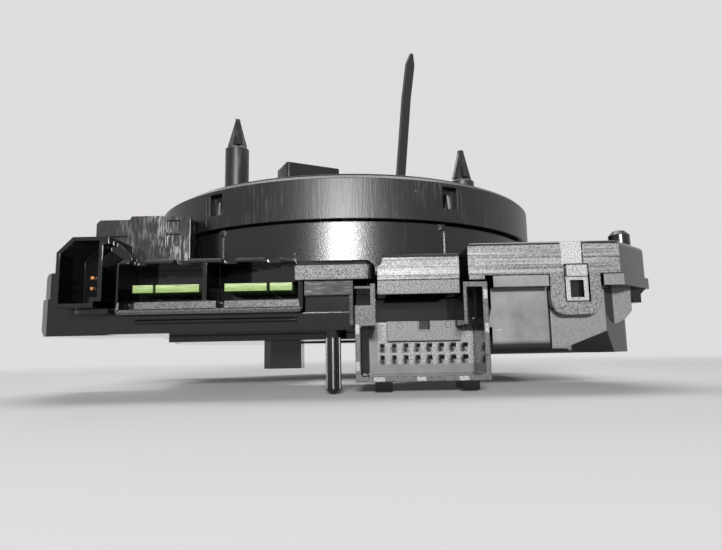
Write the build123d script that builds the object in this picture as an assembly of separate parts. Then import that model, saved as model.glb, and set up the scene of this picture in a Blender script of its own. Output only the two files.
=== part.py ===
"""Steering clock spring with its electronics block, in millimetres.

The origin is on the steering axis at the seat face of the bottom plate. +Z runs
up the steering axis to the driver, -Y is the side that the sockets face.
"""
import math
import os

from build123d import *

# ---------------------------------------------------------------- drum
DRUM_R = 54.0                 # outside of the turning skirt
SKIRT_WALL = 1.8
SEAM_Z = 25.0                 # line between the turning and the fixed ring
SEAM_GAP = 0.5
ROTOR_TOP_Z = 36.0
RIM_INSET = 3.1               # crest of the rim, in from the skirt
DECK_DROP = 1.6               # deck below the crest
DECK_T = 2.2
CASE_INSET = 0.7
CASE_R = DRUM_R - CASE_INSET  # outside of the fixed ring
CASE_STEP = 0.6               # the front panel stands this far out of the ring
CASE_WALL = 2.0
CASE_FLOOR_Z = 13.0
CASE_LAP = 3.2                # upper wall, in from the fixed ring
LAP_GAP = 0.5                 # upper wall to the deck
FRONT_PANEL_DEG = (-31.0, 26.5)
LATCH_DEG = (-31.5, 27.8)
LATCH_W = 4.0
LATCH_H = 5.0
LATCH_DEPTH = 1.8
SLIT_W = 0.3                  # slits beside the latch windows
PANEL_PAD_DEG = (-28.6, 25.2)
PANEL_PAD_W = 3.0
PANEL_PAD_T = 1.6
PANEL_PAD_Z = (17.4, 24.2)
TAB_DEG = (-29.3, 25.5)
TAB_SIZE = (1.2, 1.0, 1.4)
CASE_RIB_DEG = (60, 110, 180, 250, 300)
CASE_RIB = (2.0, 1.2)         # width and depth
RIM_STEP = 1.0                # step of the rim below its crest
RIM_ROLL = 0.8                # how far the rolled rim steps down and in
DECK_RIB_T = 1.4
DECK_RIB_H = 0.9

# ---------------------------------------------------------------- hub and bearing
BORE_R = 19.0
HUB_WALL = 3.0
HUB_R = BORE_R + HUB_WALL
HUB_STEP = 0.5                # the gear seat is turned down by this much
HUB_PROUD = 0.8               # collar above the deck
HUB_FOOT_Z = 0.0              # the hub ends level with the seat face
COLLAR_Z = 1.8
RUNNING_FIT = 0.06
SLIDE_GAP = 0.3
BEARING_H = 4.0
BEARING_WALL = 4.0
SHOULDER_R = HUB_R + 3.0
SHOULDER_H = 2.0
HUB_FLANGE_R = HUB_R + 4.0    # flange under the deck
HUB_FLANGE_T = 1.6
COLLAR_R = HUB_R + 2.2
COLLAR_NOTCH = (4.0, 3.0)     # width and height of the four notches
FLOOR_HOLE_R = COLLAR_R + 1.0

# ---------------------------------------------------------------- angle sensor
MODULE = 1.0
PRESSURE_DEG = 25.0
ADDENDUM = 0.95
DEDENDUM = 1.25
RING_RIM = 6.0                # pitch circle of the ring, out from the hub
RING_TEETH = 2 * round((HUB_R + RING_RIM) / MODULE)
GEAR_TEETH = (16, 18)
GEAR_CLEARANCE = 1.4          # measuring gears to the bent pins of the header
BACKLASH = 0.3
GEAR_Z = 4.3
GEAR_T = 4.0
GEAR_BOSS = 0.8
RING_BOSS_R = HUB_R + 3.0
MAGNET_R = 3.0
MAGNET_T = 1.5
SPINDLE_R = 1.6
SPINDLE_SEAT_R = 3.0
SPINDLE_GAP = 0.2

# ---------------------------------------------------------------- ribbon
RIBBON_T = 0.4
RIBBON_TURNS = 3
RIBBON_IN_R = HUB_R + 6.2
RIBBON_ROOM = 0.7             # outer turn to the wall of the ring
RIBBON_W = 14.0
SEAT_GAP = 0.05               # lead blocks and magnets to their seats
ROTOR_LEAD_DEG = (78, 90)
CASE_LEAD_DEG = (90, 98)

# ---------------------------------------------------------------- fixed housing
WALL = 1.8
HOUSING_GAP = 0.2             # sockets and panels to the housing
FLOOR_Z = 1.5                 # underside of the housing, top of the bottom plate
FLOOR_T = 1.8
FRONT_REACH = 3.5             # socket mouths in front of the drum
FRONT_Y = -(DRUM_R + FRONT_REACH)     # plane of the socket mouths
BLOCK_Y = FRONT_Y + 2.5       # plane of the housing's own front wall
BLOCK_DEPTH = 33.5
BLOCK_BACK_Y = FRONT_Y + BLOCK_DEPTH
BLOCK_LEFT_X = -48.0
WING_LEFT_X = -65.8
WING_Y = FRONT_Y + 7.5
WING_TOP_Z = 15.3
WING_STEP_Z = 9.6             # above this the wing stands back
WING_STEP = 0.4
WING_CHAMFER = 1.3
WING_ROUND = 1.2
WING_CORNER = 2.5             # cut front corner of the wing
WING_BACK_GAP = 4.0
BOX_X = (31.5, 43.5, 54.8)    # left wall, joint line and right wall of the box
BOX_BOTTOM_Z = -4.0
BOX_CHAMFER = 7.2
BOX_ROUND = 1.6
BOX_TOP_Z = 11.7
BOX_JOINT_W = 0.35            # upright groove between the two front panels
BOX_SLANT_AT = (43.4, -3.9)   # low end of the slanting cut under the right panel
BOX_SLANT_DEG = 20.5
BOX_SLANT_LEAN = 24.0         # how far the cut face leans back
GUSSET = ((54.5, 11.7), (54.5, 0.4), (56.1, 0.9), (60.0, 2.7), (61.7, 4.6), (61.7, 11.7))
GUSSET_Y = (FRONT_Y + 5.5, FRONT_Y + 11.0)
LIP_RIB = ((60.5, 9.5), (66.4, 9.5), (65.1, 8.2), (65.1, 6.4), (63.2, 6.4), (63.2, 7.6), (60.5, 7.2))
LIP_RIB_Y = (FRONT_Y + 8.0, FRONT_Y + 11.0)
FLANGE_T = 2.3
FLANGE_PROUD = 0.6            # flange beyond the cover
EAR_X = DRUM_R - 2.0
EAR_Y = DRUM_R / 2
EAR_R = 6.0
EAR_T = 4.0
EAR_HOLE_R = 2.25
PLATE_INSET = 3.3
PLATE_R = CASE_R - PLATE_INSET
PLATE_FRONT_Y = BLOCK_Y + 17.0
PLATE_HALF_W = 41.0
KEY_X = (-19.5, -10.2)
KEY_Y = (PLATE_FRONT_Y + 4.0, PLATE_FRONT_Y + 11.0)
KEY_DROP = 6.7
PIN_X = -1.15
PIN_Y = BLOCK_Y
PIN_R = 1.6
PIN_LENGTH = 13.0
PIN_FOOT = 0.9                # slope round the foot of the pin
FLUTE_W = 0.35                # side of the V groove
FLUTE_DEG = (-30, 30, 150, 210)   # counted from the front
BEAD_X = (-42.0, -8.5)        # bead along the front wall under the sockets
BEAD_Z = 3.9
BEAD_R = 0.45
SHELF_Z = 5.9                 # curved shelf under the left socket
SHELF_REACH = 4.2
KEY_CHAMFER = 1.9

# ---------------------------------------------------------------- board
BOARD_Z = 9.9
BOARD_T = 1.6
BOARD_Y = (FRONT_Y + 14.1, BLOCK_BACK_Y - 2.5)
BOARD_X = (-45.8, 51.0)
BOARD_NOTCH = 1.5             # notch of the board to the boss of the ring
TONGUE_Y = FRONT_Y + 1.9
CONTROLLER_AT = (31.0, FRONT_Y + 22.5)
CONTROLLER_SIZE = (8.0, 8.0, 1.4)
SENSOR_SIZE = (4.0, 5.0, 1.0)
TONGUES = ((-42.5, -38.3), (-37.7, -28.7), (-23.4, -14.7), (-14.0, -9.4))

# ---------------------------------------------------------------- edge-card sockets
SLOT_X = (-45.6, -7.0)
SLOT_DIVIDER_X = -27.0
SLOT_Z = (5.3, 16.6)
SLOT_WALL = 0.9
SLOT_CORNER_R = 1.2
SLOT_BACK_Y = FRONT_Y + 11.9
SLOT_BACK_T = 1.2
SLOT_LIP_Z = (6.3, 7.8)       # grained lip above the groove
SLOT_GROOVE = 0.35
SLOT_LIP_X = ((-44.4, -41.3), (-24.6, -22.9))     # gaps beside the lips
SLOT_SLOPE = 0.6              # slope on the top and left outer edges
NOTCH_W = 3.0
NOTCH_DEPTH = 2.5
NOTCH_AT = (-5.0, 4.0)        # from the middle of each mouth
SLIT_GAP = 0.15               # board to the slits in the back wall

# ---------------------------------------------------------------- left socket
LSOCK_X = (-57.7, -48.1)
LSOCK_Z = (7.0, 21.6)
LSOCK_WALL = 0.8
LSOCK_CHAMFER = 3.2
LSOCK_BACK_Y = FRONT_Y + 11.4
LSOCK_BACK_T = 1.5
LSOCK_TIP_Y = FRONT_Y + 5.5
LSOCK_PIN_Z = (9.2, 11.5, 13.8)
LSOCK_STEP = (1.6, 1.2)       # notch at the lower right, across and up
BRACE = ((-48.5, 21.6), (-46.3, 20.7), (-42.8, 17.4), (-42.8, 16.7), (-44.4, 16.7), (-48.0, 19.4))
BRACE_Y = (FRONT_Y + 1.9, FRONT_Y + 4.1)

# ---------------------------------------------------------------- 16-way header
PITCH = 2.54
WAYS = 8
HEADER_X = (3.5, 30.4)
HEADER_Z = (-9.0, 10.7)
HEADER_WALL = 1.05
HEADER_CORNER_R = 0.6
HEADER_BACK_Y = FRONT_Y + 13.9
HEADER_BACK_T = 2.0
TUNNEL_X = (7.7, 25.5)
TUNNEL_Z = (3.2, 8.4)
PIN_W = 0.64
PIN_TIP_Y = FRONT_Y + 7.2
ROW_Z = (-4.4, -1.86)
ROW_X0 = 9.12
PIN_BEND_Y = (3.0, 1.4)       # bend of each row behind the shroud
HOOD_X = (8.2, 27.8)           # room for the bent pins behind the shroud
HOOD_Y = HEADER_BACK_Y + 4.0
FOOT_X = (7.4, 25.4)
FOOT_W = 3.6
FOOT_H = 2.2
FOOT_SET_BACK = 5.0
POCKET_WALL_X = 26.2
POCKET_X = (26.6, 28.9)       # deep pocket right of the tunnel
POCKET_Z = (3.7, 9.6)
POCKET_SEAT_Y = FRONT_Y + 7.5
EAR_WINDOW = (6.3, 9.7)       # window left of the tunnel, between a pad and a bar
EAR_BAR_T = 0.5
LEDGE_X = (10.3, 26.6)
LEDGE_T = 1.2
LEDGE_Z = (-0.86, 3.5)
LEDGE_GAP = 0.1
LEDGE_KEY_X = (17.1, 19.5)
LEDGE_KEY_H = 2.2

# ---------------------------------------------------------------- covers
MID_X = (-8.6, 7.8)
MID_Z = (11.7, 15.8)
MID_DEPTH = 12.0
MID_CORNER_R = 2.4
MID_BEVEL = 1.1
PANEL_Z = (5.3, 8.6)          # foot of the middle panel and of its raised plate
PANEL_STRIP = (2.4, 3.2)
PANEL_STRIP_Z = (2.3, 8.5)
BONNET_X = (8.2, 24.9)
BONNET_Z = (8.5, 16.7)
BONNET_LEDGE_Z = 11.4
BONNET_SET_BACK = 0.5
BONNET_BEVEL = 0.8
BONNET_HOLLOW = ((1.0, 16.7), (1.0, 15.2), (0.6, 14.5), (0.0, 14.0))    # left edge, from its foot
COVER_X = (26.7, 57.5)
COVER_Z = (11.9, 18.8)
COVER_CHAMFER = 9.5
COVER_BACK_Y = BLOCK_BACK_Y
COVER_ROUND = 1.3
COVER_TOE_X = (26.8, 30.0)
COVER_TOE_H = 0.8
STRAP_DEPTH = 0.8
STRAP_FOOT = 1.6
DRUM_GAP = 0.4                # covers to the fixed ring
STRAP_X = (45.6, 50.1)
LOOP_X = (43.1, 53.3)
LOOP_Z = 3.6
LOOP_BAR = 2.9
LOOP_T = 1.6
LOOP_FOOT = 2.6
LOOP_HOLE_X = (46.0, 51.1)
CATCH_X = (46.3, 50.8)
CATCH_WALL = 0.9
CATCH_WINDOW_Z = (7.0, 10.6)
CATCH_Z = 6.4
SCREW_X = 64.0
SCREW_Y = FRONT_Y + 13.5
SCREW_R = 2.3
SCREW_SHANK_R = 1.3
SCREW_GAP = 0.2
SCREW_DOME = 1.0
SCREW_HEAD_H = 4.4

# ---------------------------------------------------------------- upper terminal box
UPPER_X = (-55.5, -40.4, -33.9)
UPPER_SET_BACK = 11.5
UPPER_DEPTH = 16.0
UPPER_Y = (FRONT_Y + UPPER_SET_BACK, FRONT_Y + UPPER_SET_BACK + UPPER_DEPTH)
UPPER_Z = (17.1, 27.9)
UPPER_STEP = 0.8
UPPER_BEVEL = 0.6
UPPER_RAISED = 7.0            # length of the raised part of the roof
UPPER_RECESS_X = (-54.4, -48.4)
UPPER_RECESS_Z = (20.6, 24.1)
UPPER_WINDOW_X = (-39.4, -36.2)
UPPER_WINDOW_Z = ((21.6, 24.4), (24.8, 27.6))

# ---------------------------------------------------------------- on the rotor
POST_R = 3.15
POSTS = ((-47.43, 12.47, 52.0), (46.12, 7.62, 40.2))   # degrees, in from the rim, top of the shaft
POST_CHAMFER = 0.4
ARROW_H = 7.7
ARROW_R = 2.5
ARROW_FIN = 1.3
ARROW_CORE_R = 1.5
RSOCK_AT = (-13.41, 15.54)    # degrees, in from the rim
RSOCK_SIZE = (14.0, 8.2)
RSOCK_DEG = 27.0
RSOCK_TOP_Z = 42.7
RSOCK_WALL = 1.0
RSOCK_CORNER_R = 0.8
RSOCK_FLOOR = 1.2
RSOCK_KEY = (4.0, 5.1)        # width and depth of the keyway
RSOCK_WAYS = 4
RSOCK_PIN_L = 3.8
TIE_AT = (31.83, 6.25)        # degrees, out from the hub
TIE_W = 2.5
TIE_T = 1.0
TIE_RUN = ((0.1, 0.8), (3.1, 32.0), (4.9, 45.0))      # sideways and up from the foot
TIE_DEG = 30.0
TIE_HEAD = (4.6, 4.0, 3.2)
TIE_REACH = 4.4               # head to the bridge that it goes round
TIE_BRIDGE_H = 3.4
TIE_BRIDGE_W = 6.8
TIE_BRIDGE_T = 2.4
TIE_BRIDGE_LEG = 1.5
TIE_GAP = 0.2
TIE_POINT = 3.2               # length of the pointed end
TIE_TAPER = 0.9               # and how far each side comes in

# ---------------------------------------------------------------- derived places
DECK_Z = ROTOR_TOP_Z - DECK_DROP
DECK_UNDER_Z = DECK_Z - DECK_T
CASE_TOP_Z = DECK_UNDER_Z - LAP_GAP
CASE_FLOOR_TOP_Z = CASE_FLOOR_Z + CASE_WALL
CASE_LEDGE_Z = SEAM_Z - SEAM_GAP / 2
LAP_R = CASE_R - CASE_LAP
CASE_BODY_R = CASE_R - CASE_STEP
SHOULDER_Z = CASE_FLOOR_TOP_Z + BEARING_H - CASE_WALL + SLIDE_GAP
GEAR_SEAT_R = HUB_R - HUB_STEP
RING_TOP_Z = CASE_FLOOR_Z - SLIDE_GAP
FLOOR_TOP_Z = FLOOR_Z + FLOOR_T
RIM_R = DRUM_R - RIM_INSET
CASE_UPPER_IN_R = LAP_R - CASE_WALL
RIBBON_PITCH = (CASE_UPPER_IN_R - RIBBON_ROOM - RIBBON_IN_R) / RIBBON_TURNS
FLANGE_Z = BOX_TOP_Z - FLANGE_T
DRUM_CLEAR_R = CASE_R + DRUM_GAP
BOARD_TOP_Z = BOARD_Z + BOARD_T
HEADER_PIN_X = [ROW_X0 + PITCH * way for way in range(WAYS)]
RING_PITCH_R = MODULE * RING_TEETH / 2


def block(x, y, z):
    """A block between two corners, given as three (low, high) pairs."""
    size = [high - low for low, high in (x, y, z)]
    centre = [(high + low) / 2 for low, high in (x, y, z)]
    return Pos(*centre) * Box(*size)


def ring(inner_r, outer_r, z):
    """A round wall about the steering axis between two heights."""
    wall = Circle(outer_r) - Circle(inner_r)
    return extrude(Plane.XY.offset(z[0]) * wall, z[1] - z[0])


def disc(radius, z, at=(0, 0)):
    """A round solid between two heights."""
    return extrude(Pos(at[0], at[1], z[0]) * Circle(radius), z[1] - z[0])


def plan_prism(points, z):
    """An outline seen from above, raised between two heights."""
    face = make_face(Polyline(*points, close=True))
    return extrude(Plane.XY.offset(z[0]) * face, z[1] - z[0])


def front_prism(points, y):
    """An outline seen from the front (x, z), carried from y[1] forward to y[0]."""
    face = make_face(Polyline(*points, close=True))
    plane = Plane(origin=(0, y[1], 0), x_dir=(1, 0, 0), z_dir=(0, -1, 0))
    return extrude(plane * face, y[1] - y[0])


def front_rect(x, z, y, radius=0.0):
    """A rectangle seen from the front, with round corners if a radius is given."""
    face = Rectangle(x[1] - x[0], z[1] - z[0])
    if radius:
        face = fillet(face.vertices(), radius)
    plane = Plane(origin=((x[0] + x[1]) / 2, y[1], (z[0] + z[1]) / 2), x_dir=(1, 0, 0), z_dir=(0, -1, 0))
    return extrude(plane * face, y[1] - y[0])


def revolve_profile(points):
    """A closed (radius, height) outline turned about the steering axis."""
    return revolve(Plane.XZ * make_face(Polyline(*points, close=True)), Axis.Z)


def sector(inner_r, outer_r, z, degrees):
    """A piece of round wall between two angles, counted from the front (-Y)."""
    low, high = (math.radians(angle - 90) for angle in degrees)
    mid = (low + high) / 2
    outline = [
        ThreePointArc(*[polar(outer_r, angle) for angle in (low, mid, high)]),
        Line(polar(outer_r, high), polar(inner_r, high)),
        ThreePointArc(*[polar(inner_r, angle) for angle in (high, mid, low)]),
        Line(polar(inner_r, low), polar(outer_r, low)),
    ]
    return extrude(Plane.XY.offset(z[0]) * make_face(outline), z[1] - z[0])


def polar(radius, angle):
    """A point of the plan at a radius and an angle in radians."""
    return (radius * math.cos(angle), radius * math.sin(angle))


def from_front(radius, degrees):
    """A point of the plan at an angle in degrees from the front (-Y)."""
    return polar(radius, math.radians(degrees - 90))


def at_front(radius, degrees, z=0.0):
    """A place on the drum at an angle from the front, turned to face outwards."""
    x, y = from_front(radius, degrees)
    return Pos(x, y, z) * Rot(0, 0, degrees)


# ---------------------------------------------------------------- gears
def tooth_flank(teeth, points=3):
    """Polar points of one involute flank, from the root to the tip."""
    pitch_r = MODULE * teeth / 2
    base_r = pitch_r * math.cos(math.radians(PRESSURE_DEG))
    tip_r = pitch_r + MODULE * ADDENDUM
    root_r = pitch_r - MODULE * DEDENDUM
    start_r = max(base_r, root_r)
    half_tooth = math.pi / (2 * teeth) - BACKLASH / (4 * pitch_r)
    roll_at = math.tan(math.radians(PRESSURE_DEG)) - math.radians(PRESSURE_DEG)
    flank = []
    for step in range(points):
        radius = start_r + (tip_r - start_r) * step / (points - 1)
        roll = math.sqrt(max((radius / base_r) ** 2 - 1, 0))
        flank.append((radius, half_tooth + roll_at - (roll - math.atan(roll))))
    if root_r < base_r:
        flank.insert(0, (root_r, flank[0][1]))
    return flank


def gear_outline(teeth, turn):
    """The outline of a spur gear, with a tooth centred at angle turn in radians."""
    flank = tooth_flank(teeth)
    outline = []
    for tooth in range(teeth):
        middle = turn + 2 * math.pi * tooth / teeth
        outline += [polar(radius, middle - half) for radius, half in flank]
        outline += [polar(radius, middle + half) for radius, half in reversed(flank)]
    return outline


def gear_centre(index):
    """Seat of one measuring gear: in mesh with the ring, on a line behind the header's pins."""
    reach = RING_PITCH_R + MODULE * GEAR_TEETH[index] / 2 + BACKLASH / 2
    largest_tip_r = MODULE * (max(GEAR_TEETH) / 2 + ADDENDUM)
    y = HEADER_BACK_Y + PIN_BEND_Y[0] + GEAR_CLEARANCE + largest_tip_r
    side = (-1, 1)[index]
    return (side * math.sqrt(reach ** 2 - y ** 2), y)


def sensor_ring():
    """The toothed ring that the hub turns, with a boss up to the case floor."""
    teeth = plan_prism(gear_outline(RING_TEETH, 0), (GEAR_Z, GEAR_Z + GEAR_T))
    boss = disc(RING_BOSS_R, (GEAR_Z, RING_TOP_Z))
    return teeth + boss - disc(GEAR_SEAT_R, (GEAR_Z - 1, RING_TOP_Z + 1))


def measuring_gear(index):
    """A small gear with a pocket for its magnet and a bore for its spindle."""
    teeth = GEAR_TEETH[index]
    x, y = gear_centre(index)
    seat = math.atan2(y, x)
    ring_phase = (seat * RING_TEETH / (2 * math.pi)) % 1
    turn = seat + math.pi + (ring_phase + 0.5) * 2 * math.pi / teeth
    top = GEAR_Z + GEAR_T
    gear = plan_prism(gear_outline(teeth, turn), (GEAR_Z, top))
    gear += disc(MAGNET_R + 1, (GEAR_Z, top + GEAR_BOSS))
    gear -= disc(MAGNET_R + SEAT_GAP, (top + GEAR_BOSS - MAGNET_T, top + 2))
    gear -= disc(SPINDLE_R + RUNNING_FIT, (GEAR_Z - 1, top + 2))
    return Pos(x, y, 0) * gear


def gear_magnet(index):
    """The round magnet pressed into a measuring gear."""
    top = GEAR_Z + GEAR_T + GEAR_BOSS
    return disc(MAGNET_R, (top - MAGNET_T, top), gear_centre(index))


# ---------------------------------------------------------------- rotor
def arrow_post(x, y, top):
    """A round post with a barbed, four-finned arrow tip."""
    shaft = disc(POST_R, (DECK_Z, top), (x, y))
    shaft = chamfer(shaft.edges().group_by(Axis.Z)[-1], POST_CHAMFER)
    neck = disc(ARROW_CORE_R, (top, top + 0.6), (x, y))
    core = Pos(x, y, top + 0.6 + ARROW_H / 2) * Cone(ARROW_CORE_R, 0.35, ARROW_H)
    fin = make_face(Polyline((-ARROW_R, 0), (ARROW_R, 0), (0.45, ARROW_H), (-0.45, ARROW_H), close=True))
    fins = core + neck
    for degrees in (20, 110):
        plane = Plane(origin=(x, y, top + 0.6)) * Rot(0, 0, degrees) * Rot(90, 0, 0)
        fins += extrude(plane * fin, ARROW_FIN / 2, both=True)
    return shaft + fins


def rotor_cover():
    """Turning cover: deck, rolled rim and skirt, with its posts and tie bridge."""
    inner = HUB_R + 0.1
    skirt_in = DRUM_R - SKIRT_WALL
    foot = SEAM_Z + SEAM_GAP / 2
    step_z = ROTOR_TOP_Z - RIM_STEP
    cover = revolve_profile([
        (inner, DECK_UNDER_Z), (skirt_in, DECK_UNDER_Z), (skirt_in, foot), (DRUM_R, foot),
        (DRUM_R, step_z - RIM_ROLL), (DRUM_R - RIM_ROLL, step_z), (RIM_R + 0.7, step_z),
        (RIM_R + 0.3, ROTOR_TOP_Z), (RIM_R - 1.2, ROTOR_TOP_Z), (RIM_R - 1.6, DECK_Z), (inner, DECK_Z),
    ])
    window_z = step_z - 2 * RIM_ROLL - LATCH_H / 2
    for degrees in LATCH_DEG:
        cover -= at_front(DRUM_R, degrees, window_z) * Box(LATCH_W, 2 * LATCH_DEPTH, LATCH_H)
        beside = math.copysign(LATCH_W / 2 + 1, degrees)
        cover -= at_front(DRUM_R, degrees, window_z) * Pos(beside, 0, -1) * Box(SLIT_W, 1, LATCH_H + 2)
    for degrees, inset, top in POSTS:
        cover += arrow_post(*from_front(RIM_R - inset, degrees), top)
    x, y = tie_place()
    half = TIE_BRIDGE_W / 2
    leg = half - TIE_BRIDGE_LEG
    bridge = block((-half, half), (-TIE_BRIDGE_T / 2, TIE_BRIDGE_T / 2), (0, TIE_BRIDGE_H))
    bridge -= block((-leg, leg), (-TIE_BRIDGE_T, TIE_BRIDGE_T), (-1, TIE_BRIDGE_H - 1.6))
    cover += Pos(x, y - TIE_REACH, DECK_Z) * bridge
    rib = block((-DECK_RIB_T / 2, DECK_RIB_T / 2), (HUB_R + 2, RIM_R - 2.5), (DECK_Z, DECK_Z + DECK_RIB_H))
    for degrees in range(-30, 241, 45):
        cover += Rot(0, 0, degrees) * rib
    return cover


def rotor_hub():
    """Sleeve through the drum: it carries the deck, turns in the case and drives the ring."""
    flange_low = DECK_UNDER_Z - HUB_FLANGE_T
    return revolve_profile([
        (BORE_R, HUB_FOOT_Z), (GEAR_SEAT_R - 0.1, HUB_FOOT_Z), (GEAR_SEAT_R - 0.1, RING_TOP_Z),
        (HUB_R, RING_TOP_Z), (HUB_R, SHOULDER_Z), (SHOULDER_R, SHOULDER_Z),
        (SHOULDER_R, SHOULDER_Z + SHOULDER_H), (HUB_R, SHOULDER_Z + SHOULDER_H),
        (HUB_R, flange_low), (HUB_FLANGE_R, flange_low), (HUB_FLANGE_R, DECK_UNDER_Z),
        (HUB_R, DECK_UNDER_Z), (HUB_R, DECK_Z + HUB_PROUD), (BORE_R + 0.6, DECK_Z + HUB_PROUD),
        (BORE_R, DECK_Z + HUB_PROUD - 0.6),
    ])


def retaining_collar():
    """Snap collar on the foot of the hub, under the toothed ring."""
    collar = ring(GEAR_SEAT_R, COLLAR_R, (COLLAR_Z, GEAR_Z))
    wide, high = COLLAR_NOTCH
    notch = block((COLLAR_R - 1, COLLAR_R + 1), (-wide / 2, wide / 2), (0, high))
    for degrees in range(0, 360, 90):
        collar -= Rot(0, 0, degrees) * notch
    return collar


def rsock_place():
    """Seat of the rotor socket on the deck."""
    degrees, inset = RSOCK_AT
    x, y = from_front(RIM_R - inset, degrees)
    return Pos(x, y, DECK_Z) * Rot(0, 0, RSOCK_DEG)


def rotor_socket():
    """Open-topped socket for the wheel's harness."""
    length, width = RSOCK_SIZE
    height = RSOCK_TOP_Z - DECK_Z
    inside = Rectangle(length - 2 * RSOCK_WALL, width - 2 * RSOCK_WALL)
    shell = extrude(fillet(Rectangle(length, width).vertices(), RSOCK_CORNER_R), height)
    well = Pos(0, 0, RSOCK_FLOOR) * extrude(inside, height)
    wide, deep = RSOCK_KEY
    key = block((-wide / 2, wide / 2), (width / 2 - 2 * RSOCK_WALL, width), (height - deep, height + 1))
    for x in rsock_pin_x():
        well += Pos(x, 0, 0) * Box(PIN_W, PIN_W, 4 * RSOCK_FLOOR)
    return rsock_place() * (shell - well - key)


def rsock_pin_x():
    """Places of the rotor socket's pins along the socket."""
    return [PITCH * (way - (RSOCK_WAYS - 1) / 2) for way in range(RSOCK_WAYS)]


def rotor_socket_pins():
    """Upright pins in the rotor socket."""
    pins = [Pos(x, 0, RSOCK_PIN_L / 2) * Box(PIN_W, PIN_W, RSOCK_PIN_L) for x in rsock_pin_x()]
    return rsock_place() * Compound(children=pins)


def rotor_lead_block():
    """Moulded lead frame on the hub that takes the ribbon's inner end."""
    outer = RIBBON_IN_R - RIBBON_PITCH / 4 - SLIDE_GAP
    z = (SHOULDER_Z + SHOULDER_H, DECK_UNDER_Z - HUB_FLANGE_T)
    return sector(HUB_R + SEAT_GAP, outer, z, ROTOR_LEAD_DEG)


def tie_place():
    """Middle of the tie's head in the plan."""
    degrees, out = TIE_AT
    return from_front(HUB_R + out, degrees)


def cable_tie():
    """Tie through the bridge on the deck, its long tail standing up."""
    head_w, head_d, head_h = TIE_HEAD
    x, y = tie_place()
    turned = math.radians(TIE_DEG)
    tie = Pos(x, y, DECK_Z + head_h / 2) * Box(head_w, head_d, head_h)
    for (run0, rise0), (run1, rise1) in zip(TIE_RUN, TIE_RUN[1:]):
        start, end = Vector(x + run0, y, DECK_Z + rise0), Vector(x + run1, y, DECK_Z + rise1)
        plane = Plane(origin=start, x_dir=(math.cos(turned), math.sin(turned), 0), z_dir=end - start)
        length = (end - start).length
        strip = Pos(0, 0, length / 2) * Box(TIE_W, TIE_T, length)
        if rise1 == TIE_RUN[-1][1]:
            top = strip.faces().sort_by(Axis.Z)[-1]
            strip = chamfer(top.edges().filter_by(Axis.Y), TIE_POINT, TIE_TAPER)
        tie += plane.location * strip
    across = (x - TIE_W / 2, x + TIE_W / 2)
    back = y - head_d / 4
    front = y - TIE_REACH - TIE_BRIDGE_T / 2 - TIE_GAP - TIE_T
    low, high = DECK_Z + TIE_GAP, DECK_Z + TIE_BRIDGE_H + TIE_GAP + TIE_T
    wrap = block(across, (front, back), (low, high))
    wrap -= block(across, (front + TIE_T, back - TIE_T), (low + TIE_T, high - TIE_T))
    return tie + wrap


# ---------------------------------------------------------------- fixed drum
def drum_case():
    """Fixed ring: stepped wall, floor and the bearing that the hub runs in."""
    bearing = HUB_R + RUNNING_FIT
    bearing_top = SHOULDER_Z - SLIDE_GAP
    case = revolve_profile([
        (bearing, CASE_FLOOR_Z), (CASE_BODY_R, CASE_FLOOR_Z), (CASE_BODY_R, CASE_LEDGE_Z),
        (LAP_R + 0.6, CASE_LEDGE_Z), (LAP_R + 0.6, CASE_LEDGE_Z + 0.6), (LAP_R, CASE_LEDGE_Z + 0.6),
        (LAP_R, CASE_TOP_Z), (CASE_UPPER_IN_R, CASE_TOP_Z), (CASE_UPPER_IN_R, CASE_LEDGE_Z - CASE_WALL),
        (CASE_BODY_R - CASE_WALL, CASE_LEDGE_Z - CASE_WALL), (CASE_BODY_R - CASE_WALL, CASE_FLOOR_TOP_Z),
        (bearing + BEARING_WALL, CASE_FLOOR_TOP_Z), (bearing + BEARING_WALL, bearing_top),
        (bearing, bearing_top),
    ])
    case += sector(CASE_BODY_R - 0.5, CASE_R, (CASE_FLOOR_Z, CASE_LEDGE_Z), FRONT_PANEL_DEG)
    for degrees in TAB_DEG:
        case += at_front(CASE_R, degrees, CASE_LEDGE_Z - TAB_SIZE[2] / 2) * Box(*TAB_SIZE)
    low, high = PANEL_PAD_Z
    for degrees in PANEL_PAD_DEG:
        pad = Rot(0, 0, -degrees) * Box(PANEL_PAD_W, PANEL_PAD_T, high - low)
        case += at_front(CASE_R - PANEL_PAD_T * 0.75, degrees, (low + high) / 2) * pad
    for degrees in CASE_RIB_DEG:
        rib = Box(*CASE_RIB, CASE_LEDGE_Z - CASE_FLOOR_Z)
        case += at_front(CASE_BODY_R, degrees, (CASE_FLOOR_Z + CASE_LEDGE_Z) / 2) * rib
    return case


def flat_ribbon():
    """Flat cable wound as a two-centre spiral between the hub and the ring."""
    quarter = RIBBON_PITCH / 4
    inner, outer = [], []
    for half in range(2 * RIBBON_TURNS):
        side = 1 if half % 2 == 0 else -1
        radius = RIBBON_IN_R + 2 * quarter * half
        centre = -side * quarter
        for arcs, reach in ((inner, radius), (outer, radius + RIBBON_T)):
            start, end = (centre + side * reach, 0), (centre - side * reach, 0)
            arcs.append(ThreePointArc(start, (centre, side * reach), end))
    ends = [Line(inner[0] @ 0, outer[0] @ 0), Line(inner[-1] @ 1, outer[-1] @ 1)]
    bottom = CASE_FLOOR_TOP_Z + SLIDE_GAP
    return extrude(Plane.XY.offset(bottom) * make_face(inner + outer + ends), RIBBON_W)


def case_lead_block():
    """Moulded lead frame inside the ring that takes the ribbon's outer end."""
    outer = CASE_BODY_R - CASE_WALL
    inner = RIBBON_IN_R + (RIBBON_TURNS - 0.25) * RIBBON_PITCH + RIBBON_T + SLIDE_GAP
    return sector(inner, outer - SEAT_GAP, (CASE_FLOOR_TOP_Z, CASE_LEDGE_Z - CASE_WALL), CASE_LEAD_DEG)


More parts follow.
